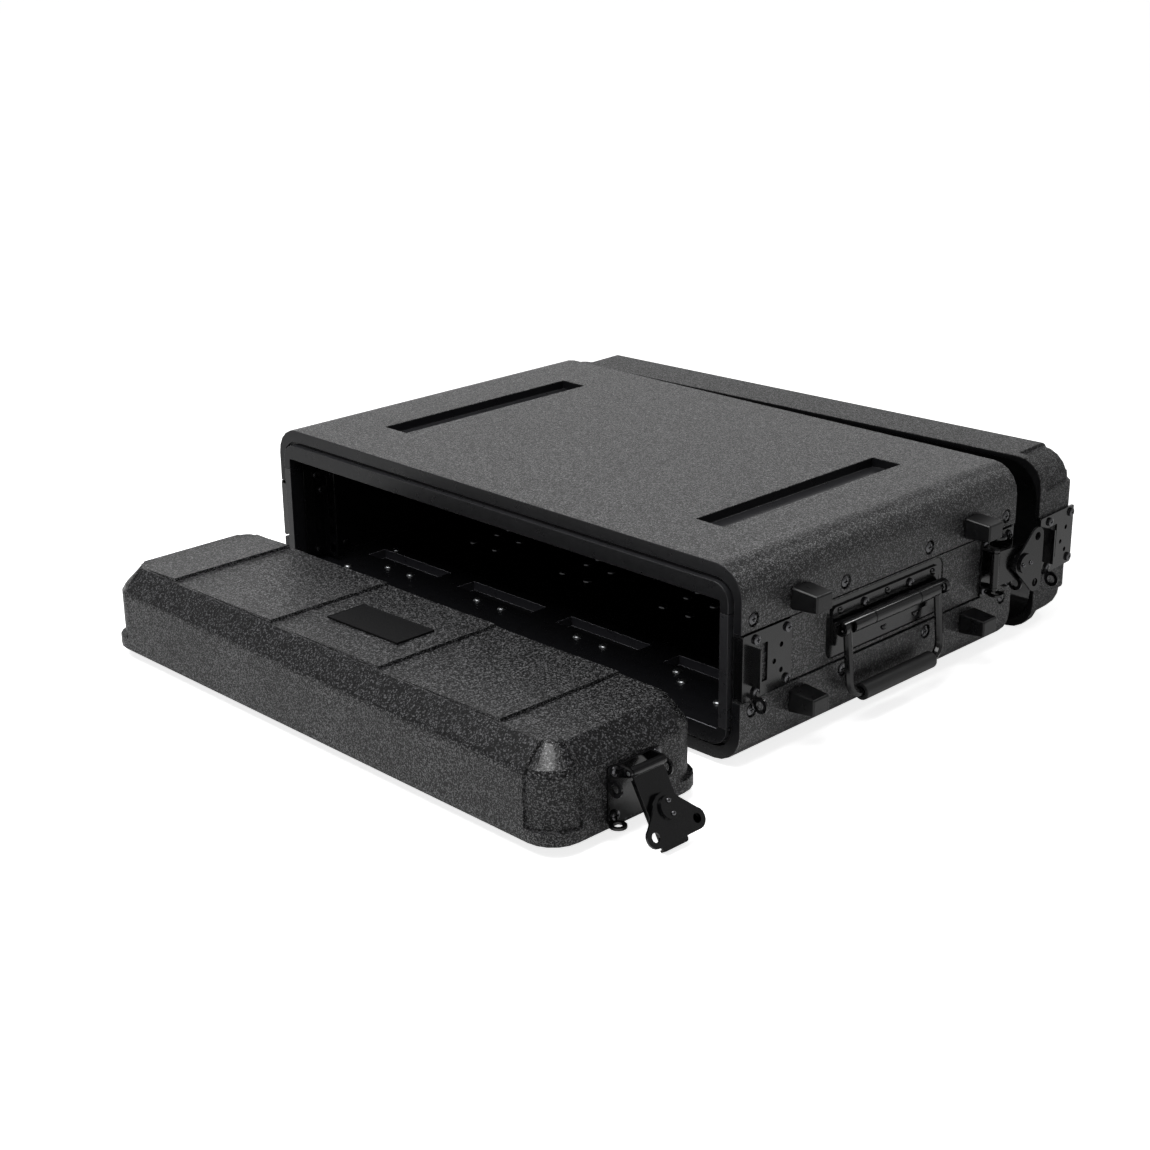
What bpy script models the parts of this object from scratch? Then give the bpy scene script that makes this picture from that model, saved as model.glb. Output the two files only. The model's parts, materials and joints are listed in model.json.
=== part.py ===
"""A two-unit moulded equipment rack case with both of its lids taken off.

The case is a sleeve of two twin-wall shells and two side panels, with rack rails inside, a drop handle on
each side and twist latches that draw the lids on. The front lid lies before the case on its latches and the
rear lid stands behind it, a little askew. Metres, +Z up, front towards -Y, origin at the middle of the
case's bottom face, which its feet hold clear of the floor.
"""

import math

import bmesh
import bpy
from mathutils import Matrix, Vector

# Rack standard
RACK_UNIT = 0.04445
RACK_UNITS = 2
RACK_SPARE = 0.004

# Case sleeve
CASE_W = 0.5225
CASE_D = 0.3331
CASE_H = 0.1476
CASE_R = 0.0235
WALL_T = 0.0175
BAY_R = 0.0015
LAP_STEP_LOW = 0.0018
LAP_STEP_HIGH = 0.0089
FLANGE = 0.0088
BAND_INSET = 0.001
BAND_SPARE = 0.0009

# Rim at both ends of the sleeve
TONGUE_OUT = 0.003
TONGUE_EDGE = 0.00975
TONGUE_EDGE_TOP = 0.0125
TONGUE_R = 0.014
GROOVE_W = 0.0025
GROOVE_DEEP = 0.003

# Recesses moulded into the shells, and the feet that stand in a lower case's slots
SLOT_FROM_SIDE = 0.08375
SLOT_FROM_END = 0.0608
SLOT_W = 0.0273
SLOT_DEEP = 0.0075
FOOT_H = 0.005
FOOT_FIT = 0.001
POCKETS = 4
POCKET_MARGIN = 0.00775
POCKET_RIB = 0.030
POCKET_L = 0.0185
POCKET_FROM_FRONT = 0.0687
POCKET_DEEP = 0.008

# Rack rails
RAIL_SETBACK = 0.0293
RAIL_FACE = 0.0172
RAIL_LEG = 0.0205
RAIL_T = 0.002
RAIL_HOLE = 0.008
HOLE_FROM_WALL = 0.0112

# Side bumpers
BUMPER_FROM_END = 0.062
BUMPER_RISE = 0.0393
BUMPER_W = 0.020
BUMPER_H = 0.017
BUMPER_OUT = 0.0234
BUMPER_TAPER = 0.78
BUMPER_EDGE = 0.0012

# Drop handles
HANDLE_PLATE_END = 0.00625
HANDLE_PLATE_H = 0.045
HANDLE_PLATE_UP = 0.0007
HANDLE_PLATE_T = 0.0015
HANDLE_PLATE_R = 0.008
HANDLE_POCKET = 0.0025
HANDLE_AXIS_UP = 0.0029
HANDLE_DROP = 0.0542
HANDLE_HANG = math.radians(5.5)
HANDLE_LEG_END = 0.00775
HANDLE_BEND = 0.012
ROD_R = 0.0034
BARREL_L = 0.1265
BARREL_R = 0.006
STRAP_END = 0.00175
STRAP_H = 0.030
STRAP_T = 0.0015
STRAP_R = 0.003
GRIP_GAP = 0.0005
GRIP_R = 0.0067

# Lids
LID_WALL_H = 0.0495
LID_H = 0.0664
LID_T = 0.004
LID_TOP_T = 0.004
LID_INSET = 0.0165
LID_RECESS = 0.0275
LID_STEP_IN = 0.0025
LID_BAND = 0.0093
LID_INNER_R = 0.029
LID_RAMPS = 4
LID_RAMP_END = 0.0712
LID_RAMP_SHIFT = 0.004
LID_RAMP_RISE = 0.0025
LID_RAMP_EDGE = 0.0015
FRONT_LID_X = 0.0053
FRONT_LID_GAP = 0.0378
FRONT_LID_TURN = math.radians(-0.38)
REAR_LID_X = -0.0009
REAR_LID_GAP = 0.0228
REAR_LID_TURN = math.radians(2.99)

# Twist latches
HINGE_BACK = 0.042
HINGE_UP = 0.012
KNUCKLE_R = 0.0034
PIN_R = 0.0016
CHEEK_R = 0.003
CHEEK_T = 0.002
BASE_FROM = 0.004
BASE_TO = 0.0454
BASE_W = 0.0498
SHEET_T = 0.0018
ARM_W = 0.0285
ARM_L = 0.037
ARM_T = 0.0015
PIVOT = 0.030
PIVOT_R = 0.003
BOSS_R = 0.0093
WING_HOLES = 0.039
WING_OFFSET = 0.0142
WING_LOBE_R = 0.0075
WING_HOLE_R = 0.0035
WING_NECK_R = 0.0112
DRUM_R = 0.0083
DRUM_H = 0.0022
CLAW_W = 0.0243
CLAW_FROM = 0.0195
CLAW_TO = 0.056
CLAW_HOOK = 0.0065
CLAW_TRAVEL = 0.008
EYE_R = 0.0062
EYE_HOLE_R = 0.0034
EYE_BACK = 0.0322
FRONT_LATCH_OPEN = math.radians(31.0)
REAR_LATCH_OPEN = math.radians(5.0)

# Keeper plates
KEEPER_L = 0.0517
KEEPER_TAB_AT = 0.0085
KEEPER_TAB_W = 0.0293
KEEPER_TAB_UP = 0.0098
KEEPER_WINDOW = 0.0151
KEEPER_LIP = 0.0075
KEEPER_EYE_AT = 0.0112
KEEPER_EYE_OUT = 0.0075

# Fits
CLEAR = 0.0003
RUN = 0.00015
OVERCUT = 0.010
ROUND_STEPS = 5
CIRCLE_STEPS = 14

# Sizes that follow from the others
RACK_HOLE_STEPS = (RACK_UNIT / 7, RACK_UNIT / 2, RACK_UNIT * 6 / 7)
BAY_W = CASE_W - 2 * WALL_T
BAY_H = RACK_UNIT * RACK_UNITS + 2 * RACK_SPARE
BAY_LOW = (CASE_H - BAY_H) / 2
BAY_HIGH = CASE_H - BAY_LOW
LAP_LOW = BAY_LOW + LAP_STEP_LOW
LAP_HIGH = BAY_HIGH - LAP_STEP_HIGH
SEAM_LOW = CASE_H / 2 - BASE_W / 2 - BAND_SPARE
SEAM_HIGH = CASE_H - SEAM_LOW
FRONT_Y = -CASE_D / 2
REAR_Y = CASE_D / 2
MID_Z = CASE_H / 2
WALL_X = CASE_W / 2 - BAND_INSET
SLOT_X = CASE_W / 2 - SLOT_FROM_SIDE
SLOT_L = CASE_D - 2 * SLOT_FROM_END
POCKET_PITCH = (BAY_W - 2 * POCKET_MARGIN) / POCKETS
POCKET_W = POCKET_PITCH - POCKET_RIB
STRAP_L = BARREL_L + 2 * STRAP_END
HANDLE_PLATE_L = STRAP_L + 2 * HANDLE_PLATE_END
HANDLE_LEGS = BARREL_L - 2 * HANDLE_LEG_END
GRIP_L = HANDLE_LEGS - 2 * HANDLE_BEND - 2 * GRIP_GAP
WING_UP = KNUCKLE_R + 2 * CLEAR
LID_SLOPE = LID_INSET / (LID_H - LID_WALL_H)
LID_RAMP_PITCH = (CASE_W - 2 * LID_RAMP_END) / (LID_RAMPS - 1)
CLAW_REACH = CLAW_TO * math.cos(FRONT_LATCH_OPEN) + CLAW_HOOK * math.sin(FRONT_LATCH_OPEN)
FRONT_LID_Z = CLAW_REACH - HINGE_BACK - FOOT_H
FRONT_LID_Y = FRONT_Y - FRONT_LID_GAP - CASE_H / 2
REAR_LID_Y = REAR_Y + REAR_LID_GAP
SIDES = (("left", -1), ("right", 1))

PARTS = "equipment_rack_case"
CUTTERS = "cutters"


# Scene helpers

def clear_scene():
    for obj in list(bpy.data.objects):
        bpy.data.objects.remove(obj, do_unlink=True)
    for name in (PARTS, CUTTERS):
        bpy.context.scene.collection.children.link(bpy.data.collections.new(name))


def make_material(name, colour, roughness, metallic=0.0):
    material = bpy.data.materials.new(name)
    material.use_nodes = True
    shader = material.node_tree.nodes["Principled BSDF"]
    shader.inputs["Base Color"].default_value = (*colour, 1.0)
    shader.inputs["Roughness"].default_value = roughness
    shader.inputs["Metallic"].default_value = metallic
    return material


def add_object(name, mesh, parent=None, matrix=None):
    obj = bpy.data.objects.new(name, mesh)
    bpy.data.collections[PARTS].objects.link(obj)
    obj.parent = parent
    if matrix is not None:
        obj.matrix_local = matrix
    return obj


def add_frame(name, parent=None, matrix=None):
    """An empty that carries pieces in their own directions."""
    return add_object(name, None, parent, matrix)


def as_cutter(obj):
    bpy.data.collections[PARTS].objects.unlink(obj)
    bpy.data.collections[CUTTERS].objects.link(obj)
    obj.hide_render = True
    obj.display_type = "WIRE"
    return obj


def combine(target, tools, operation):
    for tool in tools:
        if not tool.hide_render:
            as_cutter(tool)
        step = target.modifiers.new(operation.title() + "_" + tool.name, "BOOLEAN")
        step.operation = operation
        step.object = tool
        step.solver = "EXACT"
    return target


def finish(obj, material, smooth=True):
    """Bakes the modifiers' result into the object's own mesh and gives it its material."""
    bpy.context.view_layer.update()
    graph = bpy.context.evaluated_depsgraph_get()
    mesh = bpy.data.meshes.new_from_object(obj.evaluated_get(graph))
    obj.modifiers.clear()
    obj.data = mesh
    mesh.name = obj.name
    mesh.materials.clear()
    mesh.materials.append(material)
    if smooth:
        mesh.shade_smooth()
        mesh.set_sharp_from_angle(angle=math.radians(35))
    return obj


# Outlines

def arc(centre, radius, start, end, steps=ROUND_STEPS):
    """Points along an arc, angles in degrees."""
    points = []
    for step in range(steps + 1):
        angle = math.radians(start + (end - start) * step / steps)
        points.append((centre[0] + radius * math.cos(angle), centre[1] + radius * math.sin(angle)))
    return points


def circle(centre, radius, steps=CIRCLE_STEPS):
    return arc(centre, radius, 0, 360, steps)[:-1]


def box_outline(low, high, radius=0.0, steps=ROUND_STEPS):
    """A rectangle from its low and high corners, with round corners where a radius is given."""
    (x0, y0), (x1, y1) = low, high
    if radius <= 0:
        return [(x0, y0), (x1, y0), (x1, y1), (x0, y1)]
    return (arc((x1 - radius, y0 + radius), radius, -90, 0, steps)
            + arc((x1 - radius, y1 - radius), radius, 0, 90, steps)
            + arc((x0 + radius, y1 - radius), radius, 90, 180, steps)
            + arc((x0 + radius, y0 + radius), radius, 180, 270, steps))


def centred_outline(width, low, high, radius=0.0):
    return box_outline((-width / 2, low), (width / 2, high), radius)


def slot_outline(low, high, centre, half_width, steps=8):
    """A round-ended slot along the first direction."""
    return (arc((high - half_width, centre), half_width, -90, 90, steps)
            + arc((low + half_width, centre), half_width, 90, 270, steps))


# Solids

def clean_mesh(mesh):
    work = bmesh.new()
    work.from_mesh(mesh)
    bmesh.ops.remove_doubles(work, verts=work.verts, dist=1e-6)
    bmesh.ops.recalc_face_normals(work, faces=work.faces)
    work.to_mesh(mesh)
    work.free()


def mesh_of_curve(curve, name):
    carrier = bpy.data.objects.new(name, curve)
    bpy.context.scene.collection.objects.link(carrier)
    bpy.context.view_layer.update()
    graph = bpy.context.evaluated_depsgraph_get()
    mesh = bpy.data.meshes.new_from_object(carrier.evaluated_get(graph))
    bpy.data.objects.remove(carrier, do_unlink=True)
    bpy.data.curves.remove(curve)
    clean_mesh(mesh)
    return mesh


def sheet_mesh(name, outlines, low, high):
    """A flat outline, with any holes as further outlines, raised from low to high along local Z."""
    curve = bpy.data.curves.new(name, "CURVE")
    curve.dimensions = "2D"
    curve.fill_mode = "BOTH"
    curve.extrude = (high - low) / 2
    for outline in outlines:
        spline = curve.splines.new("POLY")
        spline.points.add(len(outline) - 1)
        for point, (x, y) in zip(spline.points, outline):
            point.co = (x, y, 0.0, 1.0)
        spline.use_cyclic_u = True
    mesh = mesh_of_curve(curve, name)
    mesh.transform(Matrix.Translation((0, 0, (low + high) / 2)))
    return mesh


def sheet(name, outlines, low, high, parent=None, matrix=None):
    return add_object(name, sheet_mesh(name, outlines, low, high), parent, matrix)


def box(name, low, high, parent=None, matrix=None):
    mesh = bpy.data.meshes.new(name)
    work = bmesh.new()
    bmesh.ops.create_cube(work, size=1.0)
    work.to_mesh(mesh)
    work.free()
    size = Vector(high) - Vector(low)
    middle = (Vector(high) + Vector(low)) / 2
    mesh.transform(Matrix.Translation(middle) @ Matrix.Diagonal((*size, 1.0)))
    return add_object(name, mesh, parent, matrix)


def rod_mesh(name, points, radius, sides=3):
    """A round rod along points, closed at both ends."""
    curve = bpy.data.curves.new(name, "CURVE")
    curve.dimensions = "3D"
    curve.bevel_depth = radius
    curve.bevel_resolution = sides
    curve.use_fill_caps = True
    spline = curve.splines.new("POLY")
    spline.points.add(len(points) - 1)
    for point, place in zip(spline.points, points):
        point.co = (*place, 1.0)
    return mesh_of_curve(curve, name)


def hull_object(name, points, parent=None):
    """The convex solid round a set of points, for a loft between unlike sections."""
    mesh = bpy.data.meshes.new(name)
    work = bmesh.new()
    for point in points:
        work.verts.new(point)
    bmesh.ops.convex_hull(work, input=work.verts)
    bmesh.ops.recalc_face_normals(work, faces=work.faces)
    work.to_mesh(mesh)
    work.free()
    return add_object(name, mesh, parent)


def axes_matrix(along, across, out, place):
    """A placement whose local X, Y and Z are the three given directions."""
    turn = Matrix((along, across, out)).transposed().to_4x4()
    return Matrix.Translation(place) @ turn


FLAT_ON_Y = axes_matrix((1, 0, 0), (0, 0, 1), (0, -1, 0), (0, 0, 0))


# Case sleeve

def rim_cutters():
    """Cuts that leave the tongue standing at both ends and sink the groove beside it."""
    tongue_w = CASE_W - 2 * TONGUE_EDGE
    tongue = centred_outline(tongue_w, TONGUE_EDGE_TOP, CASE_H - TONGUE_EDGE_TOP, TONGUE_R)
    groove = centred_outline(tongue_w + 2 * GROOVE_W, TONGUE_EDGE_TOP - GROOVE_W,
                             CASE_H - TONGUE_EDGE_TOP + GROOVE_W, TONGUE_R + GROOVE_W)
    around = centred_outline(CASE_W + 2 * OVERCUT, -OVERCUT, CASE_H + OVERCUT)
    inside = centred_outline(tongue_w + GROOVE_W, TONGUE_EDGE_TOP - GROOVE_W / 2,
                             CASE_H - TONGUE_EDGE_TOP + GROOVE_W / 2, TONGUE_R + GROOVE_W / 2)
    cutters = []
    for end, sign in (("front", 1), ("rear", -1)):
        face = CASE_D / 2 * sign
        levels = sorted((face, face + OVERCUT * sign))
        cutters.append(sheet("rim_band_" + end, (around, inside), *levels, matrix=FLAT_ON_Y))
        levels = sorted((face - GROOVE_DEEP * sign, face + OVERCUT * sign))
        cutters.append(sheet("rim_groove_" + end, (groove, tongue), *levels, matrix=FLAT_ON_Y))
    return [as_cutter(cutter) for cutter in cutters]


def shell_outline(seam, lap, roof):
    """Half a sleeve: the top, its round corners and the flanges that lap over the side panels."""
    half = CASE_W / 2
    lap_x = half - FLANGE
    bay = BAY_W / 2
    top = CASE_H - CASE_R
    right = ([(bay, lap), (lap_x, lap), (lap_x, seam), (half, seam)]
             + arc((half - CASE_R, top), CASE_R, 0, 90))
    left = [(-x, z) for x, z in reversed(right)]
    ceiling = arc((-bay + BAY_R, roof - BAY_R), BAY_R, 180, 90, 2)
    return right + left + ceiling + [(-x, z) for x, z in reversed(ceiling)]


def shell_bars(name, low, high, fit):
    """Two long bars on the outer face: the cuts for the slots, or the feet that fit such slots."""
    half_w = SLOT_W / 2 - fit
    half_l = SLOT_L / 2 - fit
    bars = []
    for side, sign in SIDES:
        x = SLOT_X * sign
        bars.append(box(f"{name}_{side}", (x - half_w, -half_l, low), (x + half_w, half_l, high)))
    return bars


def shell_pockets(name, roof):
    """Two rows of stiffening pockets in the inner face."""
    tools = []
    for row in (-1, 1):
        y = (CASE_D / 2 - POCKET_FROM_FRONT) * row
        for index in range(POCKETS):
            x = POCKET_PITCH * (index - (POCKETS - 1) / 2)
            tools.append(box(f"{name}_pocket_{row}_{index}",
                             (x - POCKET_W / 2, y - POCKET_L / 2, roof - OVERCUT),
                             (x + POCKET_W / 2, y + POCKET_L / 2, roof + POCKET_DEEP)))
    return tools


def build_shell(name, rims, material, flip):
    """The top shell as it lies, or the bottom shell, which is made upside down and then turned over."""
    length = CASE_D / 2 + TONGUE_OUT
    seam, lap, roof = SEAM_HIGH, LAP_HIGH, BAY_HIGH
    if flip:
        seam, lap, roof = CASE_H - SEAM_LOW, CASE_H - LAP_LOW, CASE_H - BAY_LOW
    shell = sheet(name, (shell_outline(seam, lap, roof),), -length, length, matrix=FLAT_ON_Y)
    combine(shell, rims, "DIFFERENCE")
    combine(shell, shell_pockets(name, roof), "DIFFERENCE")
    if flip:
        combine(shell, shell_bars("foot", CASE_H - FOOT_H, CASE_H + FOOT_H, FOOT_FIT), "UNION")
    else:
        combine(shell, shell_bars("slot", CASE_H - SLOT_DEEP, CASE_H + OVERCUT, 0.0), "DIFFERENCE")
    finish(shell, material)
    if flip:
        shell.data.transform(shell.matrix_local)
        shell.data.transform(Matrix.Translation((0, 0, CASE_H)) @ Matrix.Rotation(math.pi, 4, "Y"))
        shell.matrix_local = Matrix()
    return shell


def build_side_panel(side, sign, rims, material):
    """A panel between the shells, with a tall inner tongue that both shells lap over."""
    lap_x = CASE_W / 2 - FLANGE - CLEAR
    outline = [(BAY_W / 2, LAP_LOW + CLEAR), (lap_x, LAP_LOW + CLEAR), (lap_x, SEAM_LOW + CLEAR),
               (WALL_X, SEAM_LOW + CLEAR), (WALL_X, SEAM_HIGH - CLEAR), (lap_x, SEAM_HIGH - CLEAR),
               (lap_x, LAP_HIGH - CLEAR), (BAY_W / 2, LAP_HIGH - CLEAR)]
    length = CASE_D / 2 + TONGUE_OUT
    name = "side_panel_" + side
    panel = sheet(name, ([(x * sign, z) for x, z in outline],), -length, length, matrix=FLAT_ON_Y)
    combine(panel, rims, "DIFFERENCE")
    inner_x = CASE_W / 2 - KEEPER_LIP - BAND_INSET - 2 * CLEAR
    x_low, x_high = sorted((inner_x * sign, (CASE_W / 2 + OVERCUT) * sign))
    rebate = box(name + "_lip_rebate", (x_low, FRONT_Y - OVERCUT, SEAM_LOW - OVERCUT),
                 (x_high, FRONT_Y + SHEET_T + 2 * CLEAR, SEAM_HIGH + OVERCUT))
    pocket = sheet(name + "_handle_pocket", (handle_outline(0.0),), -HANDLE_POCKET, OVERCUT,
                   matrix=handle_matrix(sign))
    combine(panel, [rebate, pocket], "DIFFERENCE")
    return finish(panel, material)


def build_rail(side, sign, material):
    """An angle with square holes at the rack's own spacing, its leg on the wall before the face."""
    low = MID_Z - RACK_UNIT * RACK_UNITS / 2
    high = MID_Z + RACK_UNIT * RACK_UNITS / 2
    wall = BAY_W / 2 - CLEAR
    face_y = FRONT_Y + RAIL_SETBACK
    holes = []
    for unit in range(RACK_UNITS):
        for rise in RACK_HOLE_STEPS:
            z = low + RACK_UNIT * unit + rise
            x = (BAY_W / 2 - HOLE_FROM_WALL) * sign
            half = RAIL_HOLE / 2
            holes.append(box_outline((x - half, z - half), (x + half, z + half)))
    xs = sorted((wall * sign, (wall - RAIL_FACE) * sign))
    face = box_outline((xs[0], low), (xs[1], high))
    rail = sheet("rack_rail_" + side, (face, *holes), -face_y - RAIL_T, -face_y, matrix=FLAT_ON_Y)
    leg_xs = sorted((wall * sign, (wall - RAIL_T) * sign))
    leg = box("rail_leg_" + side, (leg_xs[0], face_y - RAIL_LEG, low), (leg_xs[1], face_y + RAIL_T / 2, high))
    combine(rail, [leg], "UNION")
    return finish(rail, material)


def build_bumper(name, x_sign, y, z, material):
    """A tapered block that the case can stand on when it is turned on its side."""
    frame = axes_matrix((0, 1, 0), (0, 0, x_sign), (x_sign, 0, 0), (CASE_W / 2 * x_sign, y, z))
    bumper = box(name, (-BUMPER_W / 2, -BUMPER_H / 2, CLEAR), (BUMPER_W / 2, BUMPER_H / 2, BUMPER_OUT),
                 matrix=frame)
    for vertex in bumper.data.vertices:
        if vertex.co.z > BUMPER_OUT / 2:
            vertex.co.x *= (1 + BUMPER_TAPER) / 2
            vertex.co.y *= BUMPER_TAPER
    edge = bumper.modifiers.new("edges", "BEVEL")
    edge.width = BUMPER_EDGE
    edge.segments = 2
    return finish(bumper, material)


# Drop handles, in a frame with local X along the case, Y up and Z outwards

def handle_matrix(sign):
    place = (WALL_X * sign, 0, MID_Z + HANDLE_PLATE_UP)
    return axes_matrix((0, sign, 0), (0, 0, 1), (sign, 0, 0), place)


def handle_outline(gap):
    half_l = HANDLE_PLATE_L / 2 - gap
    half_h = HANDLE_PLATE_H / 2 - gap
    return box_outline((-half_l, -half_h), (half_l, half_h), HANDLE_PLATE_R - gap, 4)


def build_handle(side, sign, metal, rubber):
    """A plate in the panel's pocket, a strap with a barrel on it, and a bail that hangs from the barrel."""
    seat = CLEAR - HANDLE_POCKET
    pan = seat + HANDLE_PLATE_T
    axis_out = pan + CLEAR + STRAP_T + BARREL_R
    rise = HANDLE_AXIS_UP - HANDLE_PLATE_UP
    frame = add_frame("handle_place_" + side, None, handle_matrix(sign))
    finish(sheet("handle_plate_" + side, (handle_outline(CLEAR),), seat, pan, frame), metal)

    strap_low = rise - STRAP_H / 2
    strap = sheet("handle_hinge_" + side,
                  (box_outline((-STRAP_L / 2, strap_low), (STRAP_L / 2, strap_low + STRAP_H), STRAP_R, 2),),
                  pan + CLEAR, pan + CLEAR + STRAP_T, frame)
    hinge_place = Matrix.Translation((0, rise, axis_out))
    along = Matrix.Rotation(math.pi / 2, 4, "Y")
    barrel = sheet("handle_barrel_" + side, (circle((0, 0), BARREL_R),), -BARREL_L / 2, BARREL_L / 2,
                   frame, hinge_place @ along)
    web_half = BARREL_L / 2 - CLEAR
    web = box("handle_web_" + side, (-web_half, rise - BARREL_R / 2, pan + CLEAR),
              (web_half, rise + BARREL_R / 2, axis_out), frame)
    bore_r = ROD_R + CLEAR * 2
    bore = sheet("handle_bore_" + side, (circle((0, 0), bore_r),), -BARREL_L, BARREL_L, frame,
                 hinge_place @ along)
    combine(strap, [barrel, web], "UNION")
    combine(strap, [bore], "DIFFERENCE")
    reach = BARREL_R + OVERCUT
    gates = []
    for end in (-1, 1):
        x = HANDLE_LEGS / 2 * end
        low = (x - bore_r, -reach, -bore_r)
        high = (x + bore_r, bore_r, reach)
        gates.append(box(f"handle_gate_{side}_{end}", low, high, frame, hinge_place))
    combine(strap, gates, "DIFFERENCE")
    finish(strap, metal)

    pivot = add_frame("handle_axis_" + side, frame, hinge_place @ Matrix.Rotation(-HANDLE_HANG, 4, "X"))
    half = HANDLE_LEGS / 2
    corner = (half - HANDLE_BEND, -HANDLE_DROP + HANDLE_BEND)
    bend_right = arc(corner, HANDLE_BEND, -90, 0, 4)
    bend_left = [(-x, y) for x, y in reversed(bend_right)]
    path = [(-half, 0.0)] + bend_left + bend_right + [(half, 0.0)]
    path = [(x, y, 0.0) for x, y in path]
    bail = add_object("handle_bail_" + side, rod_mesh("bail", path, ROD_R, 2), pivot)
    ends = [(-half - ROD_R, 0, 0), (half + ROD_R, 0, 0)]
    bar = add_object("handle_bar_" + side, rod_mesh("bar", ends, ROD_R - RUN, 2), pivot)
    combine(bail, [bar], "UNION")
    finish(bail, metal)
    place = Matrix.Translation((0, -HANDLE_DROP, 0)) @ along
    grip = sheet("handle_grip_" + side, (circle((0, 0), GRIP_R, 20), circle((0, 0), ROD_R + CLEAR, 12)),
                 -GRIP_L / 2, GRIP_L / 2, pivot, place)
    finish(grip, rubber)


# Keeper plates, in a frame with local X away from the rim, Y along the rim and Z outwards

def build_keeper(name, parent, matrix, metal):
    frame = add_frame(name + "_place", parent, matrix)
    half = BASE_W / 2
    window_from = KEEPER_TAB_AT + SHEET_T
    tab_half = KEEPER_TAB_W / 2
    top = CLEAR + SHEET_T
    window = box_outline((window_from, -tab_half), (window_from + KEEPER_WINDOW, tab_half), 0.001, 2)
    outline = box_outline((-SHEET_T + CLEAR, -half), (KEEPER_L, half), 0.0015, 2)
    plate = sheet(name, (outline, window), CLEAR, top, frame)
    tab = box(name + "_tab", (KEEPER_TAB_AT, -tab_half, CLEAR + SHEET_T / 2),
              (window_from, tab_half, KEEPER_TAB_UP), frame)
    lip = box(name + "_lip", (-SHEET_T + CLEAR, -half + 0.002, -KEEPER_LIP),
              (-CLEAR, half - 0.002, top - SHEET_T / 2), frame)
    upright = axes_matrix((0, 1, 0), (0, 0, 1), (1, 0, 0), (KEEPER_EYE_AT, 0, 0))
    eye_at = (-half - KEEPER_EYE_OUT / 2, top + EYE_R - SHEET_T / 3)
    ring = (circle(eye_at, EYE_R), circle(eye_at, EYE_HOLE_R, 10))
    eye = sheet(name + "_eye", ring, 0, SHEET_T, frame, upright)
    foot = box(name + "_eye_foot", (KEEPER_EYE_AT, eye_at[0], top - SHEET_T / 3),
               (KEEPER_EYE_AT + SHEET_T, -half + 0.006, top + EYE_R - EYE_HOLE_R - CLEAR), frame)
    combine(plate, [tab, lip, eye, foot], "UNION")
    return finish(plate, metal)


# Twist latches, in a frame with local X away from the rim, Y along the rim and Z outwards

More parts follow.
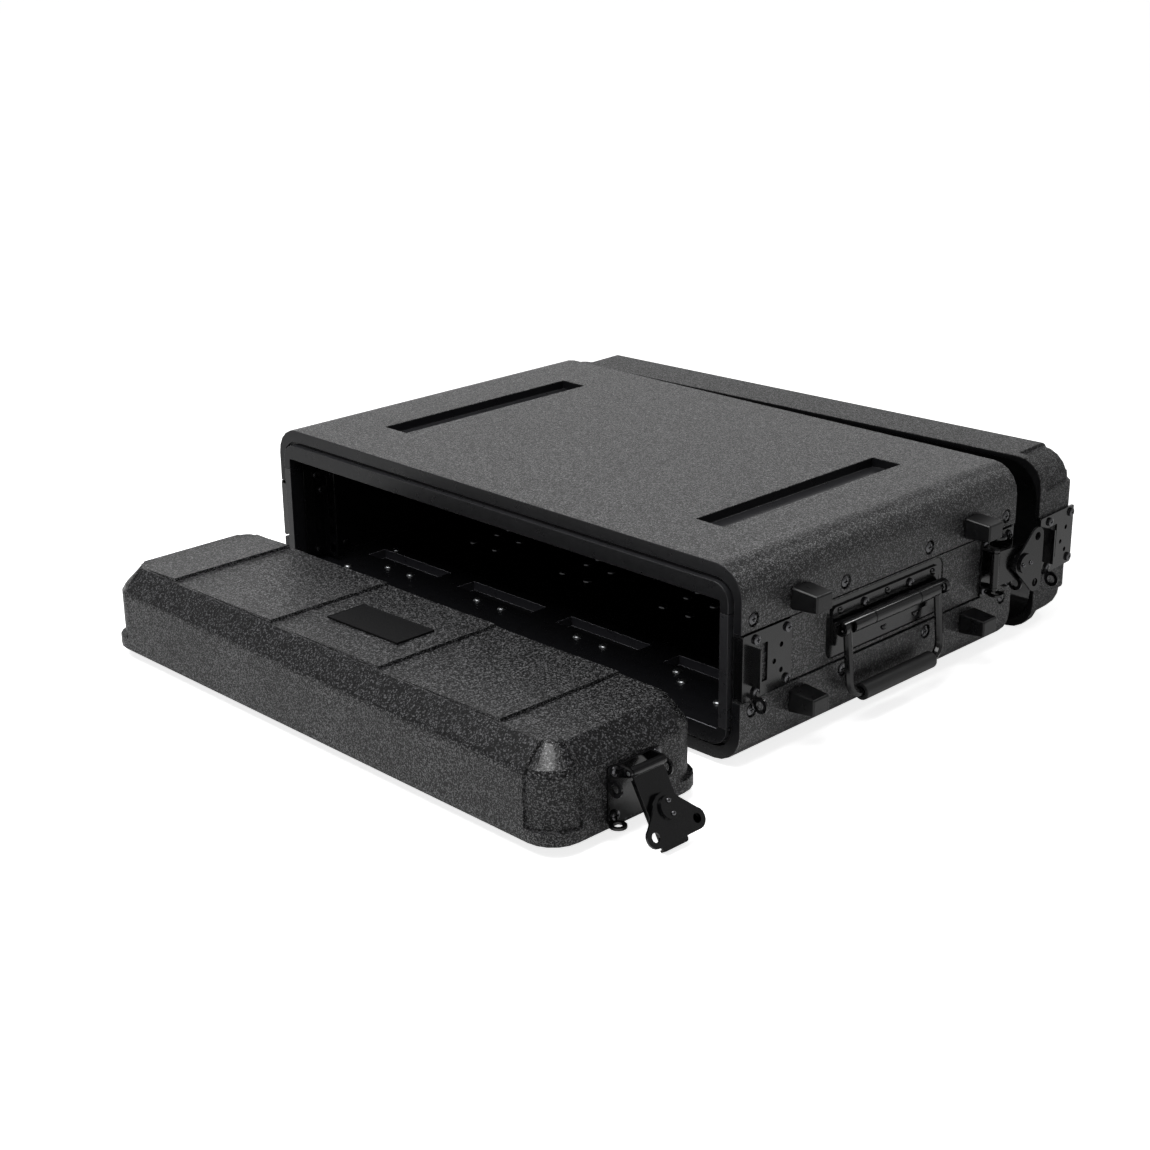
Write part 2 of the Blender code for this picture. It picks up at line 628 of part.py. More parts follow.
def build_latch(tag, parent, matrix, opened, metal, steel):
    frame = add_frame("latch_place_" + tag, parent, matrix)
    top = CLEAR + SHEET_T
    half = BASE_W / 2
    outline = box_outline((BASE_FROM, -half), (BASE_TO, half), 0.0015, 2)
    base = sheet("latch_base_" + tag, (outline,), CLEAR, top, frame)
    cheek_in = ARM_W / 2 + 2 * CLEAR
    pin_hole = PIN_R + RUN
    tools = []
    upright = axes_matrix((1, 0, 0), (0, 0, 1), (0, -1, 0), (0, 0, 0))
    hinge = (HINGE_BACK, HINGE_UP)
    cheek = ([(HINGE_BACK - CHEEK_R * 2, top - SHEET_T / 3), (BASE_TO, top - SHEET_T / 3)]
             + arc(hinge, CHEEK_R, 0, 180, 6))
    for end in (-1, 1):
        levels = sorted((cheek_in * end, (cheek_in + CHEEK_T) * end))
        ring = (cheek, circle(hinge, pin_hole, 10))
        tools.append(sheet(f"latch_cheek_{tag}_{end}", ring, *levels, frame, upright))
        eye = (EYE_BACK, top + EYE_R - SHEET_T / 3)
        ring = (circle(eye, EYE_R), circle(eye, EYE_HOLE_R, 10))
        levels = sorted(((half - SHEET_T) * end, half * end))
        tools.append(sheet(f"latch_eye_{tag}_{end}", ring, *levels, frame, upright))
    rim_eye = (half - EYE_R / 2, top + EYE_R - SHEET_T / 3)
    facing = axes_matrix((0, 1, 0), (0, 0, 1), (1, 0, 0), (BASE_FROM, 0, 0))
    ring = (circle(rim_eye, EYE_R), circle(rim_eye, EYE_HOLE_R, 10))
    tools.append(sheet("latch_rim_eye_" + tag, ring, 0, SHEET_T, frame, facing))
    combine(base, tools, "UNION")
    finish(base, metal)

    across = Matrix.Translation((HINGE_BACK, 0, HINGE_UP)) @ Matrix.Rotation(math.pi / 2, 4, "X")
    pin_half = cheek_in + CHEEK_T
    pin = sheet("latch_pin_" + tag, (circle((0, 0), PIN_R, 10),), -pin_half, pin_half, frame, across)
    finish(pin, steel)

    swing = axes_matrix((-1, 0, 0), (0, -1, 0), (0, 0, 1), (HINGE_BACK, 0, HINGE_UP))
    carrier = add_frame("latch_axis_" + tag, frame, swing @ Matrix.Rotation(-opened, 4, "Y"))
    arm_half = ARM_W / 2
    hole = circle((PIVOT, 0), PIVOT_R + CLEAR, 12)
    outline = box_outline((0, -arm_half), (ARM_L, arm_half))
    arm = sheet("latch_arm_" + tag, (outline, hole), -ARM_T / 2, ARM_T / 2, carrier)
    along = Matrix.Rotation(math.pi / 2, 4, "X")
    knuckle = sheet("latch_knuckle_" + tag, (circle((0, 0), KNUCKLE_R),), -arm_half, arm_half, carrier, along)
    boss_hole = circle((PIVOT, 0), PIVOT_R + CLEAR, 12)
    boss = sheet("latch_boss_" + tag, (circle((PIVOT, 0), BOSS_R), boss_hole), 0, WING_UP - CLEAR, carrier)
    claw_depth = ARM_T / 2 + 2 * CLEAR + SHEET_T
    guides = []
    for end in (-1, 1):
        edges = sorted(((CLAW_W / 2 + CLEAR) * end, arm_half * end))
        guides.append(box(f"latch_guide_{tag}_{end}", (KNUCKLE_R * 1.5, edges[0], -claw_depth),
                          (ARM_L, edges[1], 0), carrier))
    combine(arm, [knuckle, boss, *guides], "UNION")
    bore = sheet("latch_bore_" + tag, (circle((0, 0), pin_hole, 10),), -BASE_W, BASE_W, carrier, along)
    combine(arm, [bore], "DIFFERENCE")
    finish(arm, metal)

    turn = add_frame("latch_pivot_" + tag, carrier, Matrix.Translation((PIVOT, 0, 0)))
    build_wing(tag, turn, claw_depth, metal)

    claw_half = CLAW_W / 2
    claw_top = -ARM_T / 2 - CLEAR
    slot_half = PIVOT_R + CLEAR
    slot = slot_outline(PIVOT - slot_half, PIVOT + slot_half + CLAW_TRAVEL, 0, slot_half, 6)
    outline = box_outline((CLAW_FROM, -claw_half), (CLAW_TO, claw_half), 0.002, 2)
    claw = sheet("latch_claw_" + tag, (outline, slot), claw_top - SHEET_T + CLEAR, claw_top, carrier)
    hook = box("latch_hook_" + tag, (CLAW_TO - SHEET_T, -claw_half + 0.002, -CLAW_HOOK),
               (CLAW_TO, claw_half - 0.002, claw_top - SHEET_T / 2), carrier)
    combine(claw, [hook], "UNION")
    finish(claw, metal)


def build_wing(tag, turn, claw_depth, metal):
    """The butterfly: two lobes joined to a neck, a drum on top, and the stud that draws the claw."""
    lobe = WING_HOLES / 2
    lean = math.acos((WING_LOBE_R - WING_NECK_R) / math.hypot(WING_OFFSET, lobe))
    flank = math.degrees(math.atan2(lobe, WING_OFFSET) + lean)
    outline = (arc((0, 0), WING_NECK_R, flank, 360 - flank, 7)
               + arc((WING_OFFSET, -lobe), WING_LOBE_R, 360 - flank, 360, 7)
               + arc((WING_OFFSET, lobe), WING_LOBE_R, 0, flank, 7))
    holes = [circle((WING_OFFSET, lobe * end), WING_HOLE_R, 10) for end in (-1, 1)]
    wing = sheet("latch_wing_" + tag, (outline, *holes), WING_UP, WING_UP + SHEET_T, turn)
    drum_from = WING_UP + SHEET_T / 2
    drum_to = WING_UP + SHEET_T + DRUM_H
    drum = sheet("latch_drum_" + tag, (circle((0, 0), DRUM_R),), drum_from, drum_to, turn)
    head_top = -claw_depth - CLEAR
    head_low = head_top - SHEET_T / 2
    stud = sheet("latch_stud_" + tag, (circle((0, 0), PIVOT_R, 12),), head_top - SHEET_T / 4,
                 WING_UP + SHEET_T / 3, turn)
    head = sheet("latch_head_" + tag, (circle((0, 0), PIVOT_R * 1.6, 12),), head_low, head_top, turn)
    combine(wing, [drum, stud, head], "UNION")
    return finish(wing, metal)


# Lids, in a frame with local X along the rim, Y up the closed lid and Z outwards

def lid_ring(inset, radius, level):
    """Points round a lid at one level, set in all round from the case's outline."""
    outline = centred_outline(CASE_W - 2 * inset, -CASE_H / 2 + inset, CASE_H / 2 - inset, radius)
    return [(x, y, level) for x, y in outline]


def lid_block(name, parent, inset, radius, bottom, shoulder, top):
    """A block with round corners, upright to its shoulder and sloping in all round above it."""
    lean = (top - shoulder) * LID_SLOPE
    points = lid_ring(inset, radius, bottom) + lid_ring(inset, radius, shoulder)
    points += lid_ring(inset + lean, radius - lean, top)
    return hull_object(name, points, parent)


def lid_corner_tools(tag, parent):
    """Four cuts that step the rounded corners in, above a band left at the rim."""
    core = lid_block(tag + "_core", parent, LID_STEP_IN, LID_RECESS - LID_STEP_IN, -OVERCUT, LID_WALL_H,
                     LID_H + LID_STEP_IN)
    tools = []
    for sx in (-1, 1):
        for sy in (-1, 1):
            xs = sorted(((CASE_W / 2 - LID_RECESS) * sx, (CASE_W / 2 + OVERCUT) * sx))
            ys = sorted(((CASE_H / 2 - LID_RECESS) * sy, (CASE_H / 2 + OVERCUT) * sy))
            corner = box(f"{tag}_corner_{sx}_{sy}", (xs[0], ys[0], LID_BAND), (xs[1], ys[1], LID_H + OVERCUT),
                         parent)
            tools.append(combine(corner, [core], "DIFFERENCE"))
    return tools


def lid_ramps(tag, parent):
    """Shallow ramps across the face, each ending in a step that faces the next."""
    tools = []
    half = CASE_H / 2 - LID_INSET - LID_RAMP_EDGE
    first = -CASE_W / 2 + LID_RAMP_END + LID_RAMP_SHIFT
    level = LID_H - LID_TOP_T / 2
    for index in range(LID_RAMPS):
        step_x = first + LID_RAMP_PITCH * index
        from_x = max(step_x - LID_RAMP_PITCH - 2 * CLEAR, -CASE_W / 2 + LID_RECESS + CLEAR)
        points = []
        for y in (-half, half):
            points += [(from_x, y, level), (step_x, y, level), (from_x, y, LID_H - CLEAR),
                       (step_x, y, LID_H + LID_RAMP_RISE)]
        tools.append(hull_object(f"{tag}_ramp_{index}", points, parent))
    return tools


def build_lid(tag, parent, material, notched):
    lid = lid_block(tag, parent, 0.0, CASE_R, 0.0, LID_WALL_H, LID_H)
    combine(lid, lid_corner_tools(tag, parent), "DIFFERENCE")
    combine(lid, lid_ramps(tag, parent), "UNION")
    shoulder = LID_WALL_H - LID_TOP_T + LID_T / LID_SLOPE
    hollow = lid_block(tag + "_hollow", parent, LID_T, LID_INNER_R, -OVERCUT, shoulder, LID_H - LID_TOP_T)
    combine(lid, [hollow], "DIFFERENCE")
    if notched:
        half = BASE_W / 2 + CLEAR
        notches = []
        for side, sign in SIDES:
            xs = sorted(((CASE_W / 2 - KEEPER_LIP - OVERCUT) * sign, (CASE_W / 2 + OVERCUT) * sign))
            low = (xs[0], -half, -OVERCUT)
            high = (xs[1], half, SHEET_T + CLEAR)
            notches.append(box(f"{tag}_notch_{side}", low, high, parent))
        combine(lid, notches, "DIFFERENCE")
    return finish(lid, material)


def end_frame(sign, level):
    """On a lid's end wall: local X from the rim to the face, Y along the wall and Z out of the end."""
    return axes_matrix((0, 0, 1), (0, -sign, 0), (sign, 0, 0), (CASE_W / 2 * sign, 0, level))


def main():
    clear_scene()
    moulding = make_material("moulded_plastic", (0.020, 0.020, 0.021), 0.55)
    smooth_plastic = make_material("smooth_plastic", (0.016, 0.016, 0.017), 0.35)
    metal = make_material("black_plated_steel", (0.030, 0.030, 0.032), 0.30, 0.7)
    steel = make_material("bright_steel", (0.40, 0.40, 0.41), 0.30, 1.0)
    rubber = make_material("grip_rubber", (0.018, 0.018, 0.019), 0.60)

    rims = rim_cutters()
    build_shell("top_shell", rims, moulding, False)
    build_shell("bottom_shell", rims, moulding, True)
    for side, sign in SIDES:
        build_side_panel(side, sign, rims, moulding)
        build_rail(side, sign, metal)
        for level, up in (("lower", -1), ("upper", 1)):
            for end, along in (("front", -1), ("rear", 1)):
                build_bumper(f"bumper_{side}_{level}_{end}", sign, (CASE_D / 2 - BUMPER_FROM_END) * along,
                             MID_Z + BUMPER_RISE * up, smooth_plastic)
        build_handle(side, sign, metal, rubber)
        front_place = (WALL_X * sign, FRONT_Y + SHEET_T + CLEAR, MID_Z)
        front = axes_matrix((0, 1, 0), (0, 0, sign), (sign, 0, 0), front_place)
        build_keeper("keeper_front_" + side, None, front, metal)
        rear = axes_matrix((0, -1, 0), (0, 0, -sign), (sign, 0, 0), (WALL_X * sign, REAR_Y, MID_Z))
        build_latch("rear_" + side, None, rear, REAR_LATCH_OPEN, metal, steel)

    lying = (Matrix.Translation((FRONT_LID_X, FRONT_LID_Y, FRONT_LID_Z))
             @ Matrix.Rotation(FRONT_LID_TURN, 4, "Z"))
    front_lid = add_frame("front_lid_place", None, lying)
    build_lid("front_lid", front_lid, moulding, False)
    standing = (Matrix.Translation((REAR_LID_X, REAR_LID_Y, MID_Z - FOOT_H))
                @ Matrix.Rotation(REAR_LID_TURN, 4, "Z")
                @ axes_matrix((-1, 0, 0), (0, 0, 1), (0, 1, 0), (0, 0, 0)))
    rear_lid = add_frame("rear_lid_place", None, standing)
    build_lid("rear_lid", rear_lid, moulding, True)
    for side, sign in SIDES:
        build_latch("front_" + side, front_lid, end_frame(sign, 0), FRONT_LATCH_OPEN, metal, steel)
        build_keeper("keeper_rear_" + side, rear_lid, end_frame(-sign, SHEET_T), metal)


main()
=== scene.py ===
"""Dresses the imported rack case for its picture: grained mouldings, black steel fittings and small fasteners."""

import json
import math

import bpy
from bpy.props import FloatProperty, FloatVectorProperty, PointerProperty
from mathutils import Matrix, Vector

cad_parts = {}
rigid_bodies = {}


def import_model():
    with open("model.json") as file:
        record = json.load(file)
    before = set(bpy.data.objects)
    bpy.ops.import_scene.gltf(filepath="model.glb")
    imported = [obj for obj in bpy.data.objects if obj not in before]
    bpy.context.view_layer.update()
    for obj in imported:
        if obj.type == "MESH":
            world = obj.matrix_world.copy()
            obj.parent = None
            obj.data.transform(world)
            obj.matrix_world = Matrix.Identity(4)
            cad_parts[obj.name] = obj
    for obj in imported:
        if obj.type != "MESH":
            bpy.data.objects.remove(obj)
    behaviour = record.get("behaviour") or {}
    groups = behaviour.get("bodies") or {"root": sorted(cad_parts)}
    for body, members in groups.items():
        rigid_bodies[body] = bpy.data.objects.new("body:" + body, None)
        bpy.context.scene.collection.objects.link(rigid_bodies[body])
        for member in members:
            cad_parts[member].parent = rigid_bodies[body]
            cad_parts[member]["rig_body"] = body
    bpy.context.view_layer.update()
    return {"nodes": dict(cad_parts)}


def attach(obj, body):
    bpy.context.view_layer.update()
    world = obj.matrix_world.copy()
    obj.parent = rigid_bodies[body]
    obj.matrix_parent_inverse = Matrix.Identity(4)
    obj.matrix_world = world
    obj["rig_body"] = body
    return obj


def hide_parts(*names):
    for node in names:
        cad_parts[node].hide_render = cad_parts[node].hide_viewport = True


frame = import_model()

bl_info = {
    "name": "Rack case dressing",
    "version": (1, 0, 0),
    "blender": (4, 5, 0),
    "location": "View3D > Sidebar > Rack case",
    "description": "Adds finishes, fasteners and a stage to the rack case",
    "category": "Object",
}

# Places from the solid model, in metres
HALF_W = 0.26125
WALL_X = 0.26025
FRONT_Y = -0.16655
REAR_Y = 0.16655
MID_Z = 0.0738
CASE_TOP = 0.1476
FLOOR_Z = -0.005
SHEET_T = 0.0018
GAP = 0.0003
BAY_X = 0.24375
BAY_FLOOR = 0.02535
BAY_ROOF = 0.12225
LID_WALL = 0.0495
LID_FACE = 0.0664
RAIL_WEB = 0.24145
HINGE_X = 0.26735
HINGE_Z = 0.0767
BARREL_R = 0.006
PLATE_FACE = 0.25955
STRAP_FACE = 0.26135
FRONT_LID = Matrix.Translation((0.0053, -0.27815, 0.00435)) @ Matrix.Rotation(math.radians(-0.38), 4, "Z")
REAR_LID = Matrix.Translation((-0.0009, 0.18935, 0.0688)) @ Matrix.Rotation(math.radians(2.99), 4, "Z")

# A latch's hinge on its base, the wing's pivot on the arm, the drum's height,
# and how far the front and rear latches stand open
HINGE_BACK = 0.042
HINGE_UP = 0.012
PIVOT = 0.030
DRUM_TOP = 0.0080
LATCH_OPEN = {"front": math.radians(31.0), "rear": math.radians(5.0)}

# Seams, pockets and rims of the sleeve
SEAM_TOP = 0.0988
SEAM_BOTTOM = 0.0488
POCKET = 0.009
RIM_DEPTH = 0.0035

# Small things that the scene adds. On a side wall they are given as Y and Z, or X, Y and Z, and on a plate
# along and across it
CASE_SCREWS_Y = (-0.1536, -0.0512, 0.0512, 0.1536)
CASE_SCREWS_TOP = 0.1086
CASE_SCREWS_BOTTOM = 0.0402
CASE_SCREW_H = 0.0022
SCREW_SINK = 0.0026
PLATE_SCREW_H = 0.0018
RAIL_SCREWS = ((-0.1448, 0.1029), (-0.1399, 0.0887), (-0.1458, 0.0349))
BAY_WALL_SCREWS = ((-0.1331, 0.1024), (-0.1341, 0.0332), (-0.1146, 0.0336))
KEEPER_HOLES = ((0.0403, 0.0080), (0.0328, -0.0029), (0.0404, -0.0114))
KEEPER_SCREWS = ((0.0125, -0.0195), (0.0125, 0.0195), (0.0465, -0.0195), (0.0465, 0.0195))
LATCH_SCREWS = ((0.010, -0.0195), (0.010, 0.0195), (0.042, -0.0195), (0.042, 0.0195))
DRUM_RIVETS = (-0.0045, 0.0045)
BARREL_JOINTS_Y = (-0.0277, 0.0277)
HANDLE_SCREWS = ((STRAP_FACE, -0.0276, 0.0867), (STRAP_FACE, 0.0276, 0.0867))
HANDLE_RIVETS = ((STRAP_FACE, -0.0565, 0.0880), (STRAP_FACE, 0.0, 0.0880), (STRAP_FACE, 0.0565, 0.0880),
                 (PLATE_FACE, -0.0011, 0.0592), (PLATE_FACE, 0.0376, 0.0592))
STUD_GROUPS_X = (-0.1631, -0.0480, 0.0690, 0.1841)
STUD_GROUP = ((-0.0146, -0.022), (-0.0146, 0.0073), (0.0146, -0.022), (0.0146, 0.0073), (-0.0166, 0.0235))
FRONT_STUDS = ((-0.1822, -0.1165), (-0.1532, -0.1165), (-0.0671, -0.1165), (-0.0381, -0.1165),
               (0.0499, -0.1165), (0.0789, -0.1165), (0.1541, -0.1136), (0.1699, -0.1253),
               (0.2141, -0.1356), (-0.2117, -0.0831), (-0.2099, -0.1391))
BADGE_T = 0.0016
BADGE_PLACE = (0.0043, -0.0030, LID_FACE + 0.0013)
BADGE_TILT = math.radians(-1.13)

# Shading limit between smooth and sharp edges
SMOOTH_ANGLE = math.radians(38)

# Stage: how far the floor is lifted to white for the camera, the even fill, and the way to the backdrop
FLOOR_LIFT = 0.80
FILL = 0.22
BEHIND = (-0.69, 0.72, 0.0)

SIDES = (("left", -1), ("right", 1))
LATCHES = ("front_left", "front_right", "rear_left", "rear_right")


def linear(colour):
    """An sRGB hex colour as linear red, green and blue."""
    channels = [int(colour[i:i + 2], 16) / 255 for i in (1, 3, 5)]
    return tuple(c / 12.92 if c <= 0.04045 else ((c + 0.055) / 1.055) ** 2.4 for c in channels)


class RackCaseColours(bpy.types.PropertyGroup):
    """Colours of the finishes"""

    moulding: FloatVectorProperty(name="Moulding", description="Grained black moulding", subtype="COLOR",
                                  size=3, min=0, max=1, default=linear("#060607"))
    # The next three colours are painted highlights: light colours put on some pebbles where they would catch the
    # light, lighter for the case, the lids' tops and facets than for the lids' walls and slopes
    moulding_painted_highlight: FloatVectorProperty(name="Pebble", description="Pebbles of the case that catch the light",
                                      subtype="COLOR", size=3, min=0, max=1, default=linear("#686869"))
    lid_painted_highlight: FloatVectorProperty(name="Lid pebble", description="Pebbles of the lids that catch the light",
                                 subtype="COLOR", size=3, min=0, max=1, default=linear("#585859"))
    slope_painted_highlight: FloatVectorProperty(name="Slope pebble", description="Pebbles of the lids' sloping edges",
                                   subtype="COLOR", size=3, min=0, max=1, default=linear("#58585a"))
    smooth: FloatVectorProperty(name="Smooth moulding", description="Bumpers and the insides of the lids",
                                subtype="COLOR", size=3, min=0, max=1, default=linear("#0b0b0c"))
    # This colour is painted lighter than the smooth moulding of the bumpers, a painted sheen on the rims
    rim: FloatVectorProperty(name="Rim", description="Rims round the sleeve's ends", subtype="COLOR",
                             size=3, min=0, max=1, default=linear("#242426"))
    inside: FloatVectorProperty(name="Inside", description="Walls of the bay", subtype="COLOR",
                                size=3, min=0, max=1, default=linear("#111113"))
    # The next two colours are painted light: a painted highlight on the rounded edges of the pockets in the bay,
    # not wear, and painted light on the pockets' walls
    inside_edge_painted_highlight: FloatVectorProperty(name="Inside edge", description="Worn edges of the pockets in the bay",
                                     subtype="COLOR", size=3, min=0, max=1, default=linear("#9c9ca2"))
    inside_wall_painted_light: FloatVectorProperty(name="Pocket wall", description="Walls of the pockets in the bay",
                                     subtype="COLOR", size=3, min=0, max=1, default=linear("#3c3c41"))
    screw: FloatVectorProperty(name="Screw", description="Blackened screws and rivets", subtype="COLOR",
                               size=3, min=0, max=1, default=linear("#5e5e60"))
    steel: FloatVectorProperty(name="Coated steel", description="Plates, latches, rails and handles",
                               subtype="COLOR", size=3, min=0, max=1, default=linear("#070708"))
    grip: FloatVectorProperty(name="Grip", description="Soft sleeve on the handles", subtype="COLOR",
                              size=3, min=0, max=1, default=linear("#101011"))
    bright: FloatVectorProperty(name="Bright steel", description="Hinge pins", subtype="COLOR",
                                size=3, min=0, max=1, default=linear("#a9abad"))
    plate: FloatVectorProperty(name="Badge plate", description="Bare plate on the front lid", subtype="COLOR",
                               size=3, min=0, max=1, default=linear("#0d0d0e"))
    floor: FloatVectorProperty(name="Floor", description="Studio floor", subtype="COLOR",
                               size=3, min=0, max=1, default=linear("#f7f7f7"))


class RackCaseSizes(bpy.types.PropertyGroup):
    """Sizes of the dressing"""

    moulding_edge: FloatProperty(name="Moulding edge", description="Rounding of the moulded edges",
                                 subtype="DISTANCE", unit="LENGTH", default=0.0006, min=0)
    lid_edge: FloatProperty(name="Lid edge", description="Rounding of the lids' edges",
                            subtype="DISTANCE", unit="LENGTH", default=0.0009, min=0)
    lid_shoulder: FloatProperty(name="Lid shoulder", description="Rounding between a lid's walls and its slope",
                                subtype="DISTANCE", unit="LENGTH", default=0.0040, min=0)
    bumper_edge: FloatProperty(name="Bumper edge", description="Rounding of the bumpers' edges",
                               subtype="DISTANCE", unit="LENGTH", default=0.0008, min=0)
    steel_edge: FloatProperty(name="Steel edge", description="Rounding of sheet steel edges",
                              subtype="DISTANCE", unit="LENGTH", default=0.0005, min=0)
    screw: FloatProperty(name="Case screw", description="Radius of a case screw's head",
                         subtype="DISTANCE", unit="LENGTH", default=0.0041, min=0)
    screw_pocket: FloatProperty(name="Screw pocket", description="Radius of the pocket round a case screw",
                                subtype="DISTANCE", unit="LENGTH", default=0.0058, min=0)
    keeper_hole: FloatProperty(name="Keeper hole", description="Radius of the small holes in a keeper plate",
                               subtype="DISTANCE", unit="LENGTH", default=0.0020, min=0)
    seam: FloatProperty(name="Seam", description="Height of the gap above and below a side panel",
                        subtype="DISTANCE", unit="LENGTH", default=0.0014, min=0)
    plate_screw: FloatProperty(name="Plate screw", description="Radius of a plate screw's head",
                               subtype="DISTANCE", unit="LENGTH", default=0.0036, min=0)
    rivet: FloatProperty(name="Rivet", description="Radius of a rivet's head",
                         subtype="DISTANCE", unit="LENGTH", default=0.0028, min=0)
    drum_rivet: FloatProperty(name="Drum rivet", description="Radius of the rivets on a latch's drum",
                              subtype="DISTANCE", unit="LENGTH", default=0.0018, min=0)
    stud: FloatProperty(name="Stud", description="Radius of a stud in the bay",
                        subtype="DISTANCE", unit="LENGTH", default=0.0040, min=0)
    badge_length: FloatProperty(name="Badge length", description="Length of the bare badge plate",
                                subtype="DISTANCE", unit="LENGTH", default=0.0820, min=0)
    badge_width: FloatProperty(name="Badge width", description="Width of the bare badge plate",
                               subtype="DISTANCE", unit="LENGTH", default=0.0352, min=0)


class RackCaseSettings(bpy.types.PropertyGroup):
    """Everything a user would change"""

    colours: PointerProperty(type=RackCaseColours, name="Colours", description="Colours of the finishes")
    sizes: PointerProperty(type=RackCaseSizes, name="Sizes", description="Sizes of the dressing")


def settings():
    return bpy.context.scene.rack_case


# Materials

def add_node(tree, kind, values=None, **options):
    """Adds a node with its options, and sets or links its inputs."""
    node = tree.nodes.new(kind)
    for name, value in options.items():
        setattr(node, name, value)
    for name, value in (values or {}).items():
        if isinstance(value, bpy.types.NodeSocket):
            tree.links.new(value, node.inputs[name])
        else:
            node.inputs[name].default_value = value
    return node


def new_material(name):
    """An empty node material with its tree and the surface's own coordinates."""
    material = bpy.data.materials.new(name)
    material.use_nodes = True
    tree = material.node_tree
    tree.nodes.clear()
    return material, tree, add_node(tree, "ShaderNodeTexCoord").outputs["Object"]


def close_material(tree, values):
    """Ends the tree with a principled shader."""
    shader = add_node(tree, "ShaderNodeBsdfPrincipled", values)
    add_node(tree, "ShaderNodeOutputMaterial", {"Surface": shader.outputs["BSDF"]})


def noise(tree, place, size_mm, detail, roughness=0.5):
    """Soft random spots of about that size."""
    return add_node(tree, "ShaderNodeTexNoise", {"Vector": place, "Scale": 1000 / size_mm, "Detail": detail,
                                                 "Roughness": roughness}).outputs["Fac"]


def bump(tree, height, strength, depth_mm):
    """A normal that follows a height."""
    return add_node(tree, "ShaderNodeBump", {"Height": height, "Strength": strength,
                                             "Distance": depth_mm / 1000}).outputs["Normal"]


def spread(tree, value, low, high, start=0.0, end=1.0):
    """A number that runs from low to high as the value runs from start to end."""
    return add_node(tree, "ShaderNodeMapRange", {"Value": value, "From Min": start, "From Max": end,
                                                 "To Min": low, "To Max": high}).outputs["Result"]


def tones(tree, factor, low, high, start=0.0, end=1.0):
    """A colour that runs from low to high as the factor runs from start to end."""
    ramp = add_node(tree, "ShaderNodeValToRGB", {"Fac": factor})
    for element, position, colour in zip(ramp.color_ramp.elements, (start, end), (low, high)):
        element.position = position
        element.color = (*colour, 1)
    return ramp.outputs["Color"]


def scaled(colour, share):
    return [channel * share for channel in colour]


def pebbled_abs(name, dark, light, grain_mm, depth_mm, roughness, gloss, sparse):
    """ABS moulded against an etched tool: black with a pebble grain, and a light colour painted on some pebbles
    as a painted highlight where they would catch the light.

    The real grain is about half this size, too fine for the picture, so it is drawn coarser.
    """
    material, tree, place = new_material(name)
    pebbles = add_node(tree, "ShaderNodeTexVoronoi", {"Vector": place, "Scale": 1000 / grain_mm},
                       feature="F1").outputs["Color"]
    fine = noise(tree, place, grain_mm * 1.4, 2.0, 0.6)
    close_material(tree, {
        # The light pebbles are a painted highlight, not a colour of the moulding
        "Base Color": tones(tree, pebbles, dark, light, sparse, sparse + 0.3),
        "Roughness": spread(tree, pebbles, roughness + 0.12, roughness - 0.12),
        "IOR": 1.5, "Specular IOR Level": gloss, "Normal": bump(tree, fine, 1.0, depth_mm)})
    return material


def smooth_abs(name, colour, gloss):
    """ABS moulded against a polished tool: a soft even sheen with faint flow marks."""
    material, tree, place = new_material(name)
    flow = noise(tree, place, 9.0, 4.0)
    close_material(tree, {
        "Base Color": tones(tree, flow, scaled(colour, 0.85), scaled(colour, 1.15)),
        "Roughness": spread(tree, flow, 0.26, 0.34, 0.3, 0.7),
        "IOR": 1.5, "Specular IOR Level": gloss, "Normal": bump(tree, flow, 0.25, 0.4)})
    return material


def coated_steel(colour):
    """Sheet steel with a stoved black coat: a clear gloss over a slight orange-peel ripple."""
    material, tree, place = new_material("black_stoved_steel")
    ripple = noise(tree, place, 2.2, 2.0)
    smear = noise(tree, place, 14.0, 3.0)
    close_material(tree, {
        "Base Color": tones(tree, smear, scaled(colour, 0.8), scaled(colour, 1.2)),
        "Roughness": spread(tree, smear, 0.13, 0.22, 0.3, 0.7),
        "Normal": bump(tree, ripple, 0.3, 0.12)})
    return material


def soft_grip(colour):
    """Moulded PVC sleeve: a dull even black with a faint drag along it."""
    material, tree, place = new_material("moulded_pvc_grip")
    drag = add_node(tree, "ShaderNodeMapping", {"Vector": place, "Scale": (0.9, 0.06, 0.9)}).outputs["Vector"]
    grain = noise(tree, drag, 1.0, 3.0)
    close_material(tree, {
        "Base Color": tones(tree, grain, scaled(colour, 0.85), scaled(colour, 1.15)),
        "Roughness": spread(tree, grain, 0.48, 0.6, 0.3, 0.7),
        "IOR": 1.52, "Normal": bump(tree, grain, 0.35, 0.2)})
    return material


def drawn_steel(colour):
    """Zinc-plated drawn steel: bright, with a fine mottle."""
    material, tree, place = new_material("zinc_plated_drawn_steel")
    mottle = noise(tree, place, 0.8, 2.0)
    close_material(tree, {
        "Base Color": tones(tree, mottle, scaled(colour, 0.8), colour),
        "Roughness": spread(tree, mottle, 0.22, 0.42), "Metallic": 1.0})
    return material


def oxide_screw(colour):
    """Blackened steel, turned and then oiled: dark with small sharp glints."""
    material, tree, place = new_material("black_oxide_turned_steel")
    marks = noise(tree, place, 1.1, 2.0)
    close_material(tree, {
        "Base Color": tones(tree, marks, scaled(colour, 0.7), scaled(colour, 1.3)),
        "Roughness": spread(tree, marks, 0.16, 0.32), "Metallic": 1.0})
    return material


def satin_plate(colour):
    """Anodised aluminium plate, blasted before dyeing: flat black with a very fine sparkle."""
    material, tree, place = new_material("black_anodised_plate")
    blast = noise(tree, place, 0.9, 1.0)
    close_material(tree, {
        "Base Color": tones(tree, blast, scaled(colour, 0.8), scaled(colour, 1.2)),
        "Roughness": spread(tree, blast, 0.5, 0.62),
        "Specular IOR Level": 0.12, "Normal": bump(tree, blast, 0.3, 0.1)})
    return material


